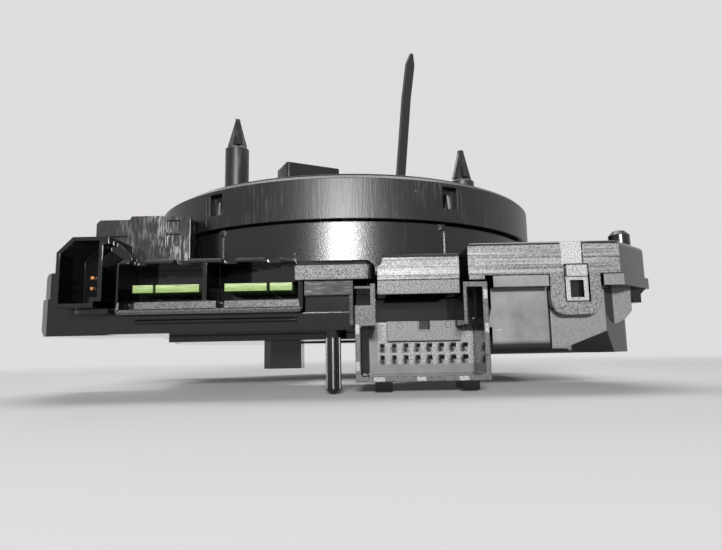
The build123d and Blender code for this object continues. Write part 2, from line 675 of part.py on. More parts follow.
# ---------------------------------------------------------------- fixed housing
def wing_outline(inset=0.0):
    """Plan of the left wing."""
    left, right = WING_LEFT_X + inset, SLOT_X[0] - SLIDE_GAP
    front, back = WING_Y + inset, BLOCK_BACK_Y - WING_BACK_GAP - inset
    corner = WING_CORNER - inset / 2
    return [(left + corner, front), (right, front), (right, back), (left, back), (left, front + corner)]


def box_outline(inset=0.0):
    """Plan of the deep box under the electronics cover, its outer corner cut at 45 degrees."""
    front, back = BLOCK_Y + inset, BLOCK_BACK_Y - inset
    left, corner = BOX_X[0] + inset, BOX_X[2] - inset / 2
    right = BOX_X[2] + BOX_CHAMFER - inset
    return [(left, front), (corner, front), (right, front + right - corner), (right, back), (left, back)]


def cover_outline(inset=0.0):
    """Plan of the electronics cover and of the flange that it sits on."""
    front, back = FRONT_Y + inset, COVER_BACK_Y - inset
    left, corner = COVER_X[0] + inset, COVER_X[1] - inset / 2
    right = COVER_X[1] + COVER_CHAMFER - inset
    return [(left, front), (corner, front), (right, front + right - corner), (right, back), (left, back)]


def lower_housing():
    """Fixed moulding: round tray, front block, left wing, deep right box, ears and guide pin."""
    tray = (FLOOR_Z, CASE_FLOOR_Z)
    low_block = (FLOOR_Z, SLOT_Z[0])
    shape = disc(CASE_BODY_R, tray)
    shape += block((BLOCK_LEFT_X, BOX_X[0]), (BLOCK_Y, BLOCK_BACK_Y), low_block)
    shape += block((BLOCK_LEFT_X, BOX_X[0]), (SLOT_BACK_Y + DRUM_GAP, BLOCK_BACK_Y), tray)
    wing = plan_prism(wing_outline(), (FLOOR_Z, WING_STEP_Z))
    wing += plan_prism(wing_outline(WING_STEP), (WING_STEP_Z, WING_TOP_Z))
    wing = fillet(wing.edges().group_by(Axis.Z)[-1].sort_by(Axis.X)[0], WING_ROUND)
    shape += chamfer(wing.edges().group_by(Axis.Z)[0].sort_by(Axis.X)[0], WING_CHAMFER)
    box = plan_prism(box_outline(), (BOX_BOTTOM_Z, BOX_TOP_Z))
    box = fillet(box.edges().group_by(Axis.Z)[0].sort_by(Axis.Y)[0], BOX_ROUND)
    shape += box - slanting_cut() + front_prism(GUSSET, GUSSET_Y) + front_prism(LIP_RIB, LIP_RIB_Y)
    joint = (BOX_X[1] - BOX_JOINT_W, BOX_X[1])
    shape -= block(joint, (BLOCK_Y - 1, BLOCK_Y + BOX_JOINT_W), (BOX_BOTTOM_Z, FLANGE_Z))
    flange = plan_prism(cover_outline(-FLANGE_PROUD), (FLANGE_Z, BOX_TOP_Z))
    shape += flange - block((0, BOX_X[0]), (FRONT_Y - 2, BLOCK_BACK_Y + 2), (FLANGE_Z - 1, BOX_TOP_Z + 1))
    ear = disc(EAR_R, (FLOOR_Z, FLOOR_Z + EAR_T), (EAR_X, EAR_Y))
    ear += block((0, EAR_X), (EAR_Y - EAR_R, EAR_Y + EAR_R), (FLOOR_Z, FLOOR_Z + EAR_T))
    ear -= disc(EAR_HOLE_R, (FLOOR_Z - 1, FLOOR_Z + EAR_T + 1), (EAR_X, EAR_Y))
    shape += ear + mirror(ear, Plane.YZ)
    room = disc(CASE_BODY_R - CASE_WALL, (FLOOR_TOP_Z, CASE_FLOOR_Z + 1))
    room += block((BLOCK_LEFT_X + WALL, BOX_X[0] + 1), (BLOCK_Y + WALL, BLOCK_BACK_Y - WALL),
                  (FLOOR_TOP_Z, CASE_FLOOR_Z + 1))
    room += block((BOX_X[0] - WALL, BOX_X[0] + 2 * WALL), (HEADER_BACK_Y + HOUSING_GAP, BLOCK_BACK_Y - WALL),
                  (FLOOR_TOP_Z, CASE_FLOOR_Z + 1))
    room += plan_prism(wing_outline(WALL), (FLOOR_TOP_Z, WING_TOP_Z - WALL))
    room += plan_prism(box_outline(WALL), (BOX_BOTTOM_Z + WALL, CASE_FLOOR_Z + 1))
    shape -= room
    gap = HOUSING_GAP
    shape -= block((HEADER_X[0] - gap, HEADER_X[1] + gap), (FRONT_Y - 1, HEADER_BACK_Y + gap),
                   (HEADER_Z[0] - 1, HEADER_Z[1] + 5))
    shape -= block(HOOD_X, (HEADER_BACK_Y - 1, HOOD_Y), (FLOOR_Z - 1, FLOOR_TOP_Z + 1))
    shape -= block((LSOCK_X[0] - gap, LSOCK_X[1] + LSOCK_STEP[0]), (WING_Y - 1, LSOCK_BACK_Y + gap),
                   (LSOCK_Z[0], WING_TOP_Z + 1))
    shape -= block((LOOP_X[0] - 2 * gap, LOOP_X[1] + 2 * gap), (FRONT_Y - 2, BLOCK_Y),
                   (FLANGE_Z - 1, BOX_TOP_Z + 1))
    shape -= disc(SCREW_SHANK_R + SCREW_GAP / 2, (FLANGE_Z - 1, BOX_TOP_Z + 1), (SCREW_X, SCREW_Y))
    shape -= under_drum((CASE_FLOOR_Z, WING_TOP_Z + 1))
    shape -= disc(FLOOR_HOLE_R, (FLOOR_Z - 1, FLOOR_TOP_Z + 1))
    for index in range(len(GEAR_TEETH)):
        at = gear_centre(index)
        shape += disc(SPINDLE_SEAT_R, (FLOOR_Z, GEAR_Z - SPINDLE_GAP), at)
        shape += disc(SPINDLE_R, (FLOOR_Z, GEAR_Z + GEAR_T + GEAR_BOSS - MAGNET_T - SLIDE_GAP), at)
    return shape + snap_catch() + guide_pin() + front_bead() + socket_shelf()


def slanting_cut():
    """What is taken off under the right panel: a face that leans back below a rising line."""
    rise, lean = math.radians(BOX_SLANT_DEG), math.radians(BOX_SLANT_LEAN)
    outward = (math.sin(rise) * math.sin(lean), -math.cos(lean), -math.cos(rise) * math.sin(lean))
    x, z = BOX_SLANT_AT
    face = Plane(origin=(x, BLOCK_Y, z), x_dir=(math.cos(rise), 0, math.sin(rise)), z_dir=outward)
    reach = BOX_X[2] + BOX_CHAMFER - x
    return extrude(face * Pos(reach, -reach / 2) * Rectangle(2 * reach, reach), reach)


def guide_pin():
    """Fluted locating pin under the front wall, with a tapered foot."""
    y = PIN_Y + PIN_R
    low, high = FLOOR_Z - PIN_LENGTH, FLOOR_Z + 0.5
    body = disc(PIN_R, (low, high), (PIN_X, y))
    body = chamfer(body.edges().group_by(Axis.Z)[0], PIN_FOOT)
    for degrees in FLUTE_DEG:
        across, out = polar(PIN_R, math.radians(degrees - 90))
        flute = Rot(0, 0, 45 + degrees) * Box(FLUTE_W, FLUTE_W, PIN_LENGTH - 2 * PIN_FOOT)
        body -= Pos(PIN_X + across, y + out, (low + FLOOR_Z) / 2) * flute
    return body


def front_bead():
    """Half-round bead along the front wall."""
    left, right = BEAD_X
    return Pos((left + right) / 2, BLOCK_Y, BEAD_Z) * Rot(0, 90, 0) * Cylinder(BEAD_R, right - left)


def socket_shelf():
    """Curved shelf on the wing that the left socket rests on."""
    left, right = LSOCK_X[0], SLOT_X[0] - 2 * SLIDE_GAP
    middle = (left + right) / 2
    edge = ThreePointArc((left, WING_Y), (middle, WING_Y - SHELF_REACH), (right, WING_Y))
    face = make_face([edge, Line((right, WING_Y), (left, WING_Y))])
    return extrude(Plane.XY.offset(SHELF_Z) * face, LSOCK_Z[0] - SHELF_Z)


def bottom_plate():
    """Plate under the drum, with the seat face and the key foot."""
    plate = disc(PLATE_R, (0, FLOOR_Z))
    plate += block((-PLATE_HALF_W, BOX_X[0] - 1), (PLATE_FRONT_Y, 0), (0, FLOOR_Z))
    plate -= block((-80, 80), (-80, PLATE_FRONT_Y), (-1, 3))
    plate -= block((BOX_X[0] - 2 * HOUSING_GAP, 80), (-80, BLOCK_BACK_Y + 2 * HOUSING_GAP), (-1, 3))
    plate -= disc(FLOOR_HOLE_R, (-1, 3))
    key = block(KEY_X, KEY_Y, (-KEY_DROP, FLOOR_Z / 2))
    front_left = key.edges().filter_by(Axis.Z).sort_by(lambda edge: edge.center().X + edge.center().Y)[0]
    return plate + chamfer(front_left, KEY_CHAMFER)


def main_board():
    """Circuit board with a round notch for the hub and two keyed pairs of tongues."""
    board = block(BOARD_X, BOARD_Y, (BOARD_Z, BOARD_TOP_Z))
    for left, right in TONGUES:
        board += block((left, right), (TONGUE_Y, BOARD_Y[0] + 1), (BOARD_Z, BOARD_TOP_Z))
    board -= disc(RING_BOSS_R + BOARD_NOTCH, (BOARD_Z - 1, BOARD_TOP_Z + 1))
    return board


def board_chips():
    """Sensor chips over the magnets and the controller."""
    chips = []
    for index in range(len(GEAR_TEETH)):
        x, y = gear_centre(index)
        chips.append(Pos(x, y, BOARD_TOP_Z + SENSOR_SIZE[2] / 2) * Box(*SENSOR_SIZE))
    x, y = CONTROLLER_AT
    chips.append(Pos(x, y, BOARD_TOP_Z + CONTROLLER_SIZE[2] / 2) * Box(*CONTROLLER_SIZE))
    return Compound(children=chips)


# ---------------------------------------------------------------- sockets
def edge_sockets():
    """Double edge-card socket: two mouths side by side with a slit for the board."""
    (x0, x1), (z0, z1) = SLOT_X, SLOT_Z
    shell = front_rect(SLOT_X, SLOT_Z, (FRONT_Y, SLOT_BACK_Y), SLOT_CORNER_R)
    rim = shell.faces().sort_by(Axis.Y)[0].edges()
    outer_rim = [edge for edge in rim if edge.center().Z > z1 - SLOT_CORNER_R or edge.center().X < x0 + 1]
    shell = chamfer(outer_rim, SLOT_SLOPE)
    half = SLOT_WALL / 2
    bays = ((x0 + SLOT_WALL, SLOT_DIVIDER_X - half), (SLOT_DIVIDER_X + half, x1 - SLOT_WALL))
    drum_wall = disc(DRUM_CLEAR_R + SLOT_WALL, (CASE_FLOOR_Z - SLIDE_GAP - SLOT_WALL, z1 + 1))
    for bay in bays:
        mouth = block(bay, (FRONT_Y - 1, SLOT_BACK_Y - SLOT_BACK_T), (SLOT_LIP_Z[1], z1 - SLOT_WALL))
        shell -= mouth - drum_wall
        for offset in NOTCH_AT:
            x = sum(bay) / 2 + offset
            notch = (x - NOTCH_W / 2, x + NOTCH_W / 2)
            shell -= block(notch, (FRONT_Y - 1, FRONT_Y + NOTCH_DEPTH), (z1 - SLOT_WALL - 1, z1 + 1))
    groove = (SLOT_LIP_Z[0] - SLOT_GROOVE, SLOT_LIP_Z[0])
    shell -= block((x0 + SLOT_WALL, x1 + 1), (FRONT_Y - 1, FRONT_Y + half), groove)
    for gap in SLOT_LIP_X:
        shell -= block(gap, (FRONT_Y - 1, FRONT_Y + NOTCH_DEPTH), SLOT_LIP_Z)
    shell -= under_drum((CASE_FLOOR_Z - SLIDE_GAP, z1 + 1))
    shell -= block((MID_X[0] - 0.1, x1 + 1), (FRONT_Y - 1, SLOT_BACK_Y + 1), (MID_Z[0] - 0.1, z1 + 1))
    for left, right in TONGUES:
        shell -= block((left - SLIT_GAP, right + SLIT_GAP), (SLOT_BACK_Y - 3, SLOT_BACK_Y + 1),
                       (BOARD_Z - SLIT_GAP, BOARD_TOP_Z + SLIT_GAP))
    return shell


def left_socket():
    """Narrow socket with a cut corner and a keyed top, at the left end."""
    (x0, x1), (z0, z1) = LSOCK_X, LSOCK_Z
    in_x, up_z = LSOCK_STEP
    outline = [(x0, z0), (x1 - in_x, z0), (x1 - in_x, z0 + up_z), (x1, z0 + up_z), (x1, z1 - in_x),
               (x1 + up_z, z1 - in_x), (x1 + up_z, z1), (x0 + LSOCK_CHAMFER, z1), (x0, z1 - LSOCK_CHAMFER)]
    wall = LSOCK_WALL
    hollow = [(x0 + wall, z0 + wall), (x1 - in_x - wall, z0 + wall), (x1 - in_x - wall, z0 + up_z + wall),
              (x1 - wall, z0 + up_z + wall), (x1 - wall, z1 - wall), (x0 + LSOCK_CHAMFER + wall / 2, z1 - wall),
              (x0 + wall, z1 - LSOCK_CHAMFER - wall / 2)]
    shell = front_prism(outline, (FRONT_Y, LSOCK_BACK_Y)) + front_prism(BRACE, BRACE_Y)
    shell -= front_prism(hollow, (FRONT_Y - 1, LSOCK_BACK_Y - LSOCK_BACK_T))
    for z in LSOCK_PIN_Z:
        shell -= block(lsock_pin_x(), (LSOCK_BACK_Y - 3, LSOCK_BACK_Y + 1), (z - PIN_W / 2, z + PIN_W / 2))
    return shell


def lsock_pin_x():
    """Left and right face of the left socket's pins."""
    middle = sum(LSOCK_X) / 2
    return (middle - PIN_W / 2, middle + PIN_W / 2)


def left_socket_pins():
    """Three copper pins, one above the other."""
    pins = [block(lsock_pin_x(), (LSOCK_TIP_Y, LSOCK_BACK_Y + 0.1), (z - PIN_W / 2, z + PIN_W / 2))
            for z in LSOCK_PIN_Z]
    return Compound(children=pins)


def header_shell():
    """Shroud of the 16-way header, with a latch tunnel above the pins."""
    (x0, x1), (z0, z1) = HEADER_X, HEADER_Z
    tunnel_left, tunnel_right = TUNNEL_X
    tunnel_low, tunnel_high = TUNNEL_Z
    wall = HEADER_WALL
    outline = [(x0, z0), (x1, z0), (x1, z1), (tunnel_right, z1), (tunnel_right, tunnel_high),
               (tunnel_left, tunnel_high), (tunnel_left, z1), (tunnel_left - wall, z1),
               (tunnel_left - wall, tunnel_low), (x0, tunnel_low)]
    outside = (FRONT_Y, HEADER_BACK_Y)
    inside = (FRONT_Y - 1, HEADER_BACK_Y - HEADER_BACK_T)
    shell = front_prism(outline, outside)
    shell -= front_rect((x0 + wall, x1 - wall), (z0 + wall, tunnel_low - wall), inside, HEADER_CORNER_R)
    shell -= block((tunnel_left, tunnel_right), inside, (z0 + 2 * wall, tunnel_high + 1))
    shell -= block((POCKET_WALL_X, x1 - wall), (FRONT_Y - 1, POCKET_SEAT_Y), (z0 + 2 * wall, z1 - wall))
    shell -= block(POCKET_X, inside, POCKET_Z)
    ear = (x0, tunnel_left - wall)
    ear_z = (tunnel_low - wall, EAR_WINDOW[1] + EAR_BAR_T)
    shell += block(ear, outside, ear_z) - block((x0 - 1, ear[1]), inside, EAR_WINDOW)
    under_bonnet = (BONNET_X[0] + WALL + SLIDE_GAP, BONNET_X[1] - WALL - SLIDE_GAP)
    shell += block(under_bonnet, (inside[1], HEADER_BACK_Y), (tunnel_high - 1, z1 - wall))
    for x in HEADER_PIN_X:
        for z in ROW_Z:
            shell -= block((x - PIN_W / 2, x + PIN_W / 2), (HEADER_BACK_Y - 3, HEADER_BACK_Y + 1),
                           (z - PIN_W / 2, z + PIN_W / 2))
    hood_z = ROW_Z[0] - wall
    hood = block((HOOD_X[0] - wall, HOOD_X[1] + wall), (HEADER_BACK_Y, HOOD_Y + wall), (hood_z - wall, FLOOR_Z))
    shell += hood - block(HOOD_X, (HEADER_BACK_Y - 1, HOOD_Y), (hood_z, FLOOR_Z + 1))
    for x in FOOT_X:
        shell += block((x, x + FOOT_W), (FRONT_Y + FOOT_SET_BACK, HEADER_BACK_Y), (z0 - FOOT_H, z0 + wall / 2))
    return shell


def header_ledge():
    """Grey insulator ledge over the pin rows, with a key recess."""
    left, right = LEDGE_X
    back = HEADER_BACK_Y - HEADER_BACK_T
    low, high = LEDGE_Z
    ledge = block((left, TUNNEL_X[1] - LEDGE_GAP), (back - LEDGE_T, back), (low, high))
    ledge += block((left, right - LEDGE_GAP), (back - LEDGE_T, back), (low, TUNNEL_Z[0] - HEADER_WALL - LEDGE_GAP))
    return ledge - block(LEDGE_KEY_X, (back - 2 * LEDGE_T, back - LEDGE_T / 2), (high - LEDGE_KEY_H, high + 1))


def header_pins():
    """Sixteen square pins, bent up behind the shroud to the board."""
    pins = []
    for x in HEADER_PIN_X:
        for row, z in enumerate(ROW_Z):
            back = HEADER_BACK_Y + PIN_BEND_Y[row]
            wide = (x - PIN_W / 2, x + PIN_W / 2)
            leg = block(wide, (PIN_TIP_Y, back), (z - PIN_W / 2, z + PIN_W / 2))
            rise = block(wide, (back - PIN_W, back), (z - PIN_W / 2, BOARD_Z))
            pins.append(leg + rise)
    return Compound(children=pins)


# ---------------------------------------------------------------- covers
def under_drum(z):
    """What the fixed ring and its gap take out of a cover."""
    return disc(DRUM_CLEAR_R, z)


def electronics_cover():
    """Clip-on cover over the right box, with the U loop that holds it down."""
    z0, z1 = COVER_Z
    cover = plan_prism(cover_outline(), COVER_Z)
    cover = fillet(cover.edges().group_by(Axis.Z)[-1], COVER_ROUND)
    cover -= plan_prism(cover_outline(WALL), (z0 - 1, z1 - WALL)) - disc(DRUM_CLEAR_R + WALL, (z0 - 2, z1))
    cover -= under_drum((z0 - 1, z1 + 1))
    cover -= block(STRAP_X, (FRONT_Y - 1, FRONT_Y + STRAP_DEPTH), (z0 + STRAP_FOOT, z1 + 1))
    cover += block(COVER_TOE_X, (FRONT_Y, FRONT_Y + WALL), (z0 - COVER_TOE_H, z0 + 1))
    depth = (FRONT_Y - 1, FRONT_Y + LOOP_T + 1)
    loop = front_rect(LOOP_X, (LOOP_Z, z0 + LOOP_BAR), (FRONT_Y, FRONT_Y + LOOP_T), LOOP_BAR)
    loop -= block(LOOP_HOLE_X, depth, (LOOP_Z + LOOP_FOOT, z0 + LOOP_BAR + 1))
    loop -= block((LOOP_X[0] - 1, LOOP_X[1] + 1), depth, (z0 + 0.5, z0 + LOOP_BAR + 1))
    cover -= disc(SCREW_SHANK_R + SCREW_GAP, (z0 - 1, z1 + 1), (SCREW_X, SCREW_Y))
    return cover + loop


def snap_catch():
    """Wedge on the box that the cover's loop hooks over, with its window."""
    x0, x1 = CATCH_X
    catch = block(CATCH_X, (FRONT_Y + SCREW_GAP, BLOCK_Y + 0.1), (CATCH_Z, COVER_Z[0] - SCREW_GAP))
    return catch - block((x0 + CATCH_WALL, x1 - CATCH_WALL), (FRONT_Y, FRONT_Y + LOOP_T), CATCH_WINDOW_Z)


def header_bonnet():
    """Raised cover over the header's latch tunnel."""
    x0, x1 = BONNET_X
    z0, z1 = BONNET_Z
    face = [(x0, z0), (x1, z0), (x1, z1)] + [(x0 + inset, z) for inset, z in BONNET_HOLLOW]
    bonnet = front_prism(face, (FRONT_Y, HEADER_BACK_Y))
    bonnet = chamfer(bonnet.edges().filter_by(Axis.X).group_by(Axis.Z)[-1].sort_by(Axis.Y)[0], BONNET_BEVEL)
    bonnet -= block((x0 + WALL, x1 - WALL), (FRONT_Y + WALL, HEADER_BACK_Y + 1), (z0 - 1, z1 - WALL))
    bonnet -= block((x0 - 1, x1 + 1), (FRONT_Y - 1, FRONT_Y + BONNET_SET_BACK), (z0 - 1, BONNET_LEDGE_Z))
    return bonnet - under_drum((CASE_FLOOR_Z - SLIDE_GAP, z1 + 1))


def middle_cover():
    """Low cover between the edge sockets and the header, round at its right end."""
    x0, x1 = MID_X
    plan = Rectangle(x1 - x0, MID_DEPTH)
    plan = fillet(plan.vertices().group_by(Axis.X)[-1], MID_CORNER_R)
    cover = extrude(Pos((x0 + x1) / 2, FRONT_Y + MID_DEPTH / 2, MID_Z[0]) * plan, MID_Z[1] - MID_Z[0])
    cover = chamfer(cover.edges().group_by(Axis.Z)[-1], MID_BEVEL)
    cover -= block((x0 + WALL, x1 - WALL), (FRONT_Y + WALL, FRONT_Y + 2 * MID_DEPTH), (MID_Z[0] - 1, MID_Z[1] - WALL))
    return cover - under_drum((CASE_FLOOR_Z - SLIDE_GAP, MID_Z[1] + 1))


def middle_panel():
    """Front wall under the middle cover, beside the header."""
    across = (SLOT_X[1] + HOUSING_GAP, PANEL_STRIP[1])
    plate = block(across, (FRONT_Y + 1.0, BLOCK_Y + WALL), (PANEL_Z[1], MID_Z[0]))
    foot = block(across, (BLOCK_Y, BLOCK_Y + WALL), PANEL_Z)
    return plate + foot + block(PANEL_STRIP, (FRONT_Y + HOUSING_GAP, BLOCK_Y), PANEL_STRIP_Z)


def upper_terminal_box():
    """Terminal box above the left sockets, with a stepped roof and latch windows."""
    x0, xm, x1 = UPPER_X
    z0, z1 = UPPER_Z
    step, bevel = UPPER_STEP, UPPER_BEVEL
    roof = [(x0, z0), (x1, z0), (x1, z1), (x1 - bevel, z1 + bevel), (xm, z1 + bevel), (xm, z1 + step),
            (xm - UPPER_RAISED, z1 + step), (xm - UPPER_RAISED - bevel, z1), (x0 + step, z1), (x0, z1 - step)]
    box = front_prism(roof, UPPER_Y)
    front = UPPER_Y[0]
    box -= block((x0 + WALL, x1 - WALL), (front + WALL, UPPER_Y[1] + 1), (z0 + WALL, z1 - WALL))
    box -= block(UPPER_RECESS_X, (front - 1, front + bevel), UPPER_RECESS_Z)
    for window_z in UPPER_WINDOW_Z:
        box -= block(UPPER_WINDOW_X, (front - 1, front + bevel), window_z)
    return box - under_drum((z0 - 1, SEAM_Z + 1)) - disc(DRUM_R + DRUM_GAP, (SEAM_Z - 1, z1 + 2))


def left_deck():
    """Deck that closes the front block behind the edge sockets and carries the terminal box."""
    z0 = WING_TOP_Z
    deck = block((UPPER_X[0], SLOT_X[1]), (SLOT_BACK_Y, UPPER_Y[1]), (z0, UPPER_Z[0]))
    return deck - under_drum((z0 - 1, UPPER_Z[0] + 1))


def cover_screw():
    """Dome-headed screw through the electronics cover."""
    top = COVER_Z[1]
    head = disc(SCREW_R, (top, top + SCREW_HEAD_H), (SCREW_X, SCREW_Y))
    head = chamfer(head.edges().group_by(Axis.Z)[-1], SCREW_DOME)
    return head + disc(SCREW_SHANK_R, (FLANGE_Z + 0.5, top), (SCREW_X, SCREW_Y))


NODES = {
    "lower_housing": lower_housing,
    "bottom_plate": bottom_plate,
    "drum_case": drum_case,
    "main_board": main_board,
    "board_chips": board_chips,
    "edge_sockets": edge_sockets,
    "left_socket": left_socket,
    "left_socket_pins": left_socket_pins,
    "header_shell": header_shell,
    "header_ledge": header_ledge,
    "header_pins": header_pins,
    "electronics_cover": electronics_cover,
    "header_bonnet": header_bonnet,
    "middle_cover": middle_cover,
    "middle_panel": middle_panel,
    "upper_terminal_box": upper_terminal_box,
    "left_deck": left_deck,
    "cover_screw": cover_screw,
    "flat_ribbon": flat_ribbon,
    "case_lead_block": case_lead_block,
    "rotor_cover": rotor_cover,
    "rotor_hub": rotor_hub,
    "retaining_collar": retaining_collar,
    "sensor_ring": sensor_ring,
    "rotor_socket": rotor_socket,
    "rotor_socket_pins": rotor_socket_pins,
    "rotor_lead_block": rotor_lead_block,
    "cable_tie": cable_tie,
    "measuring_gear_a": lambda: measuring_gear(0),
    "measuring_gear_b": lambda: measuring_gear(1),
    "gear_magnet_a": lambda: gear_magnet(0),
    "gear_magnet_b": lambda: gear_magnet(1),
}

os.makedirs("parts", exist_ok=True)
for name, make in NODES.items():
    export_step(make(), f"parts/{name}.step")
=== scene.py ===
import functools
import math

import bmesh
import bpy
from bpy.props import FloatProperty, FloatVectorProperty, PointerProperty
from mathutils import Matrix, Vector


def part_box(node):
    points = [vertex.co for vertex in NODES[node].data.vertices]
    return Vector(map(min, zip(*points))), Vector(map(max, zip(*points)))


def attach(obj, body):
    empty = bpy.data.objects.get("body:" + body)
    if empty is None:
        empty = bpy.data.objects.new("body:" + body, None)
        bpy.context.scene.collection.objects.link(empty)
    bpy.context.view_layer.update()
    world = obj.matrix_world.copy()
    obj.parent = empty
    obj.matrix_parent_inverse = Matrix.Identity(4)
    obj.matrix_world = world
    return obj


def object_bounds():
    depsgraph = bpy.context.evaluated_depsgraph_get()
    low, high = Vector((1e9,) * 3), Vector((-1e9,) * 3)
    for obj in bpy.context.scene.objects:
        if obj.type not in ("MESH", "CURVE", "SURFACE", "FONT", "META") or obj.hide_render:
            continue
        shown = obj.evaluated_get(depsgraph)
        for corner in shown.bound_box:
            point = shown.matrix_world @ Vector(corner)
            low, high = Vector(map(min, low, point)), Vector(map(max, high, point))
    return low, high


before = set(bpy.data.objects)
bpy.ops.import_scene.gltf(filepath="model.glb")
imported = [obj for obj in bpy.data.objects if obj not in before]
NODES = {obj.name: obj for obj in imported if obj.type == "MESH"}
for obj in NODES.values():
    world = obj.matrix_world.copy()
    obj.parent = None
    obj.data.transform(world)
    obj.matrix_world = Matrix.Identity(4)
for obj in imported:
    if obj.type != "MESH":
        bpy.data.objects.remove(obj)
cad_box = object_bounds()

bl_info = {
    "name": "Steering clock spring",
    "version": (1, 0, 0),
    "blender": (4, 5, 0),
    "location": "3D View > Sidebar > Clock Spring",
    "description": "Dresses the clock spring's solids, adds its fine trim and sets up the studio",
    "category": "Object",
}

MM = 0.001
SCUFF = (0.40, 0.40, 0.38)


# ------------------------------------------------------------------ settings
class FinishSettings(bpy.types.PropertyGroup):
    """Colours and grain of the mouldings, the board and the metal."""

    moulded_black: FloatVectorProperty(
        name="Moulded black", description="Colour of the smooth black mouldings",
        subtype="COLOR", size=3, min=0, max=1, default=(0.0040, 0.0040, 0.0045))
    grained_black: FloatVectorProperty(
        name="Grained black", description="Colour of the spark-eroded black faces",
        subtype="COLOR", size=3, min=0, max=1, default=(0.98, 0.98, 1.0))
    laminate: FloatVectorProperty(
        name="Board edge", description="Colour of the circuit board's cut edge",
        subtype="COLOR", size=3, min=0, max=1, default=(0.245, 0.375, 0.095))
    grain: FloatProperty(
        name="Grain", description="Size of the spark-eroded grain",
        subtype="DISTANCE", unit="LENGTH", default=0.00030)
    edge_radius: FloatProperty(
        name="Edge radius", description="How far the moulded edges are rounded",
        subtype="DISTANCE", unit="LENGTH", default=0.00030)


class StudioSettings(bpy.types.PropertyGroup):
    """Floor, camera and lamps."""

    backdrop: FloatVectorProperty(
        name="Backdrop", description="Colour of the floor and the backdrop",
        subtype="COLOR", size=3, min=0, max=1, default=(0.74, 0.72, 0.74))
    camera_at: FloatVectorProperty(
        name="Camera", description="Where the camera stands",
        subtype="XYZ", unit="LENGTH", size=3, default=(0.005994, -0.167238, -0.002756))
    camera_pitch: FloatProperty(
        name="Pitch", description="How far the camera looks up",
        subtype="ANGLE", unit="ROTATION", default=math.radians(7.9))
    camera_turn: FloatProperty(
        name="Turn", description="How far the camera turns left of the steering axis",
        subtype="ANGLE", unit="ROTATION", default=math.radians(0.57))
    camera_roll: FloatProperty(
        name="Roll", description="How far the camera leans",
        subtype="ANGLE", unit="ROTATION", default=math.radians(-1.08))
    lens: FloatProperty(
        name="Lens", description="Focal length in millimetres", unit="CAMERA", default=27.17)
    flash_power: FloatProperty(
        name="Flash", description="Power of the lamp over the camera",
        subtype="POWER", unit="POWER", default=4.2)
    room_power: FloatProperty(
        name="Room lamp", description="Power of the lamp overhead",
        subtype="POWER", unit="POWER", default=2.2)
    rim_power: FloatProperty(
        name="Rim lamp", description="Power of the lamp behind",
        subtype="POWER", unit="POWER", default=2.5)
    air: FloatProperty(
        name="Air", description="Strength of the light from all round",
        subtype="FACTOR", min=0, max=1, default=0.05)


# ------------------------------------------------------------------ shader maths
class Wire:
    """A shader socket that takes Python's arithmetic."""

    def __init__(self, board, socket):
        self.board = board
        self.socket = socket

    def maths(self, operation, first, second):
        return self.board.node("ShaderNodeMath", {"operation": operation}, {0: first, 1: second})

    def __add__(self, other):
        return self.maths("ADD", self, other)

    def __sub__(self, other):
        return self.maths("SUBTRACT", self, other)

    def __rsub__(self, other):
        return self.maths("SUBTRACT", other, self)

    def __mul__(self, other):
        return self.maths("MULTIPLY", self, other)

    def __lt__(self, other):
        return self.maths("LESS_THAN", self, other)

    def __gt__(self, other):
        return self.maths("GREATER_THAN", self, other)

    __radd__ = __add__
    __rmul__ = __mul__


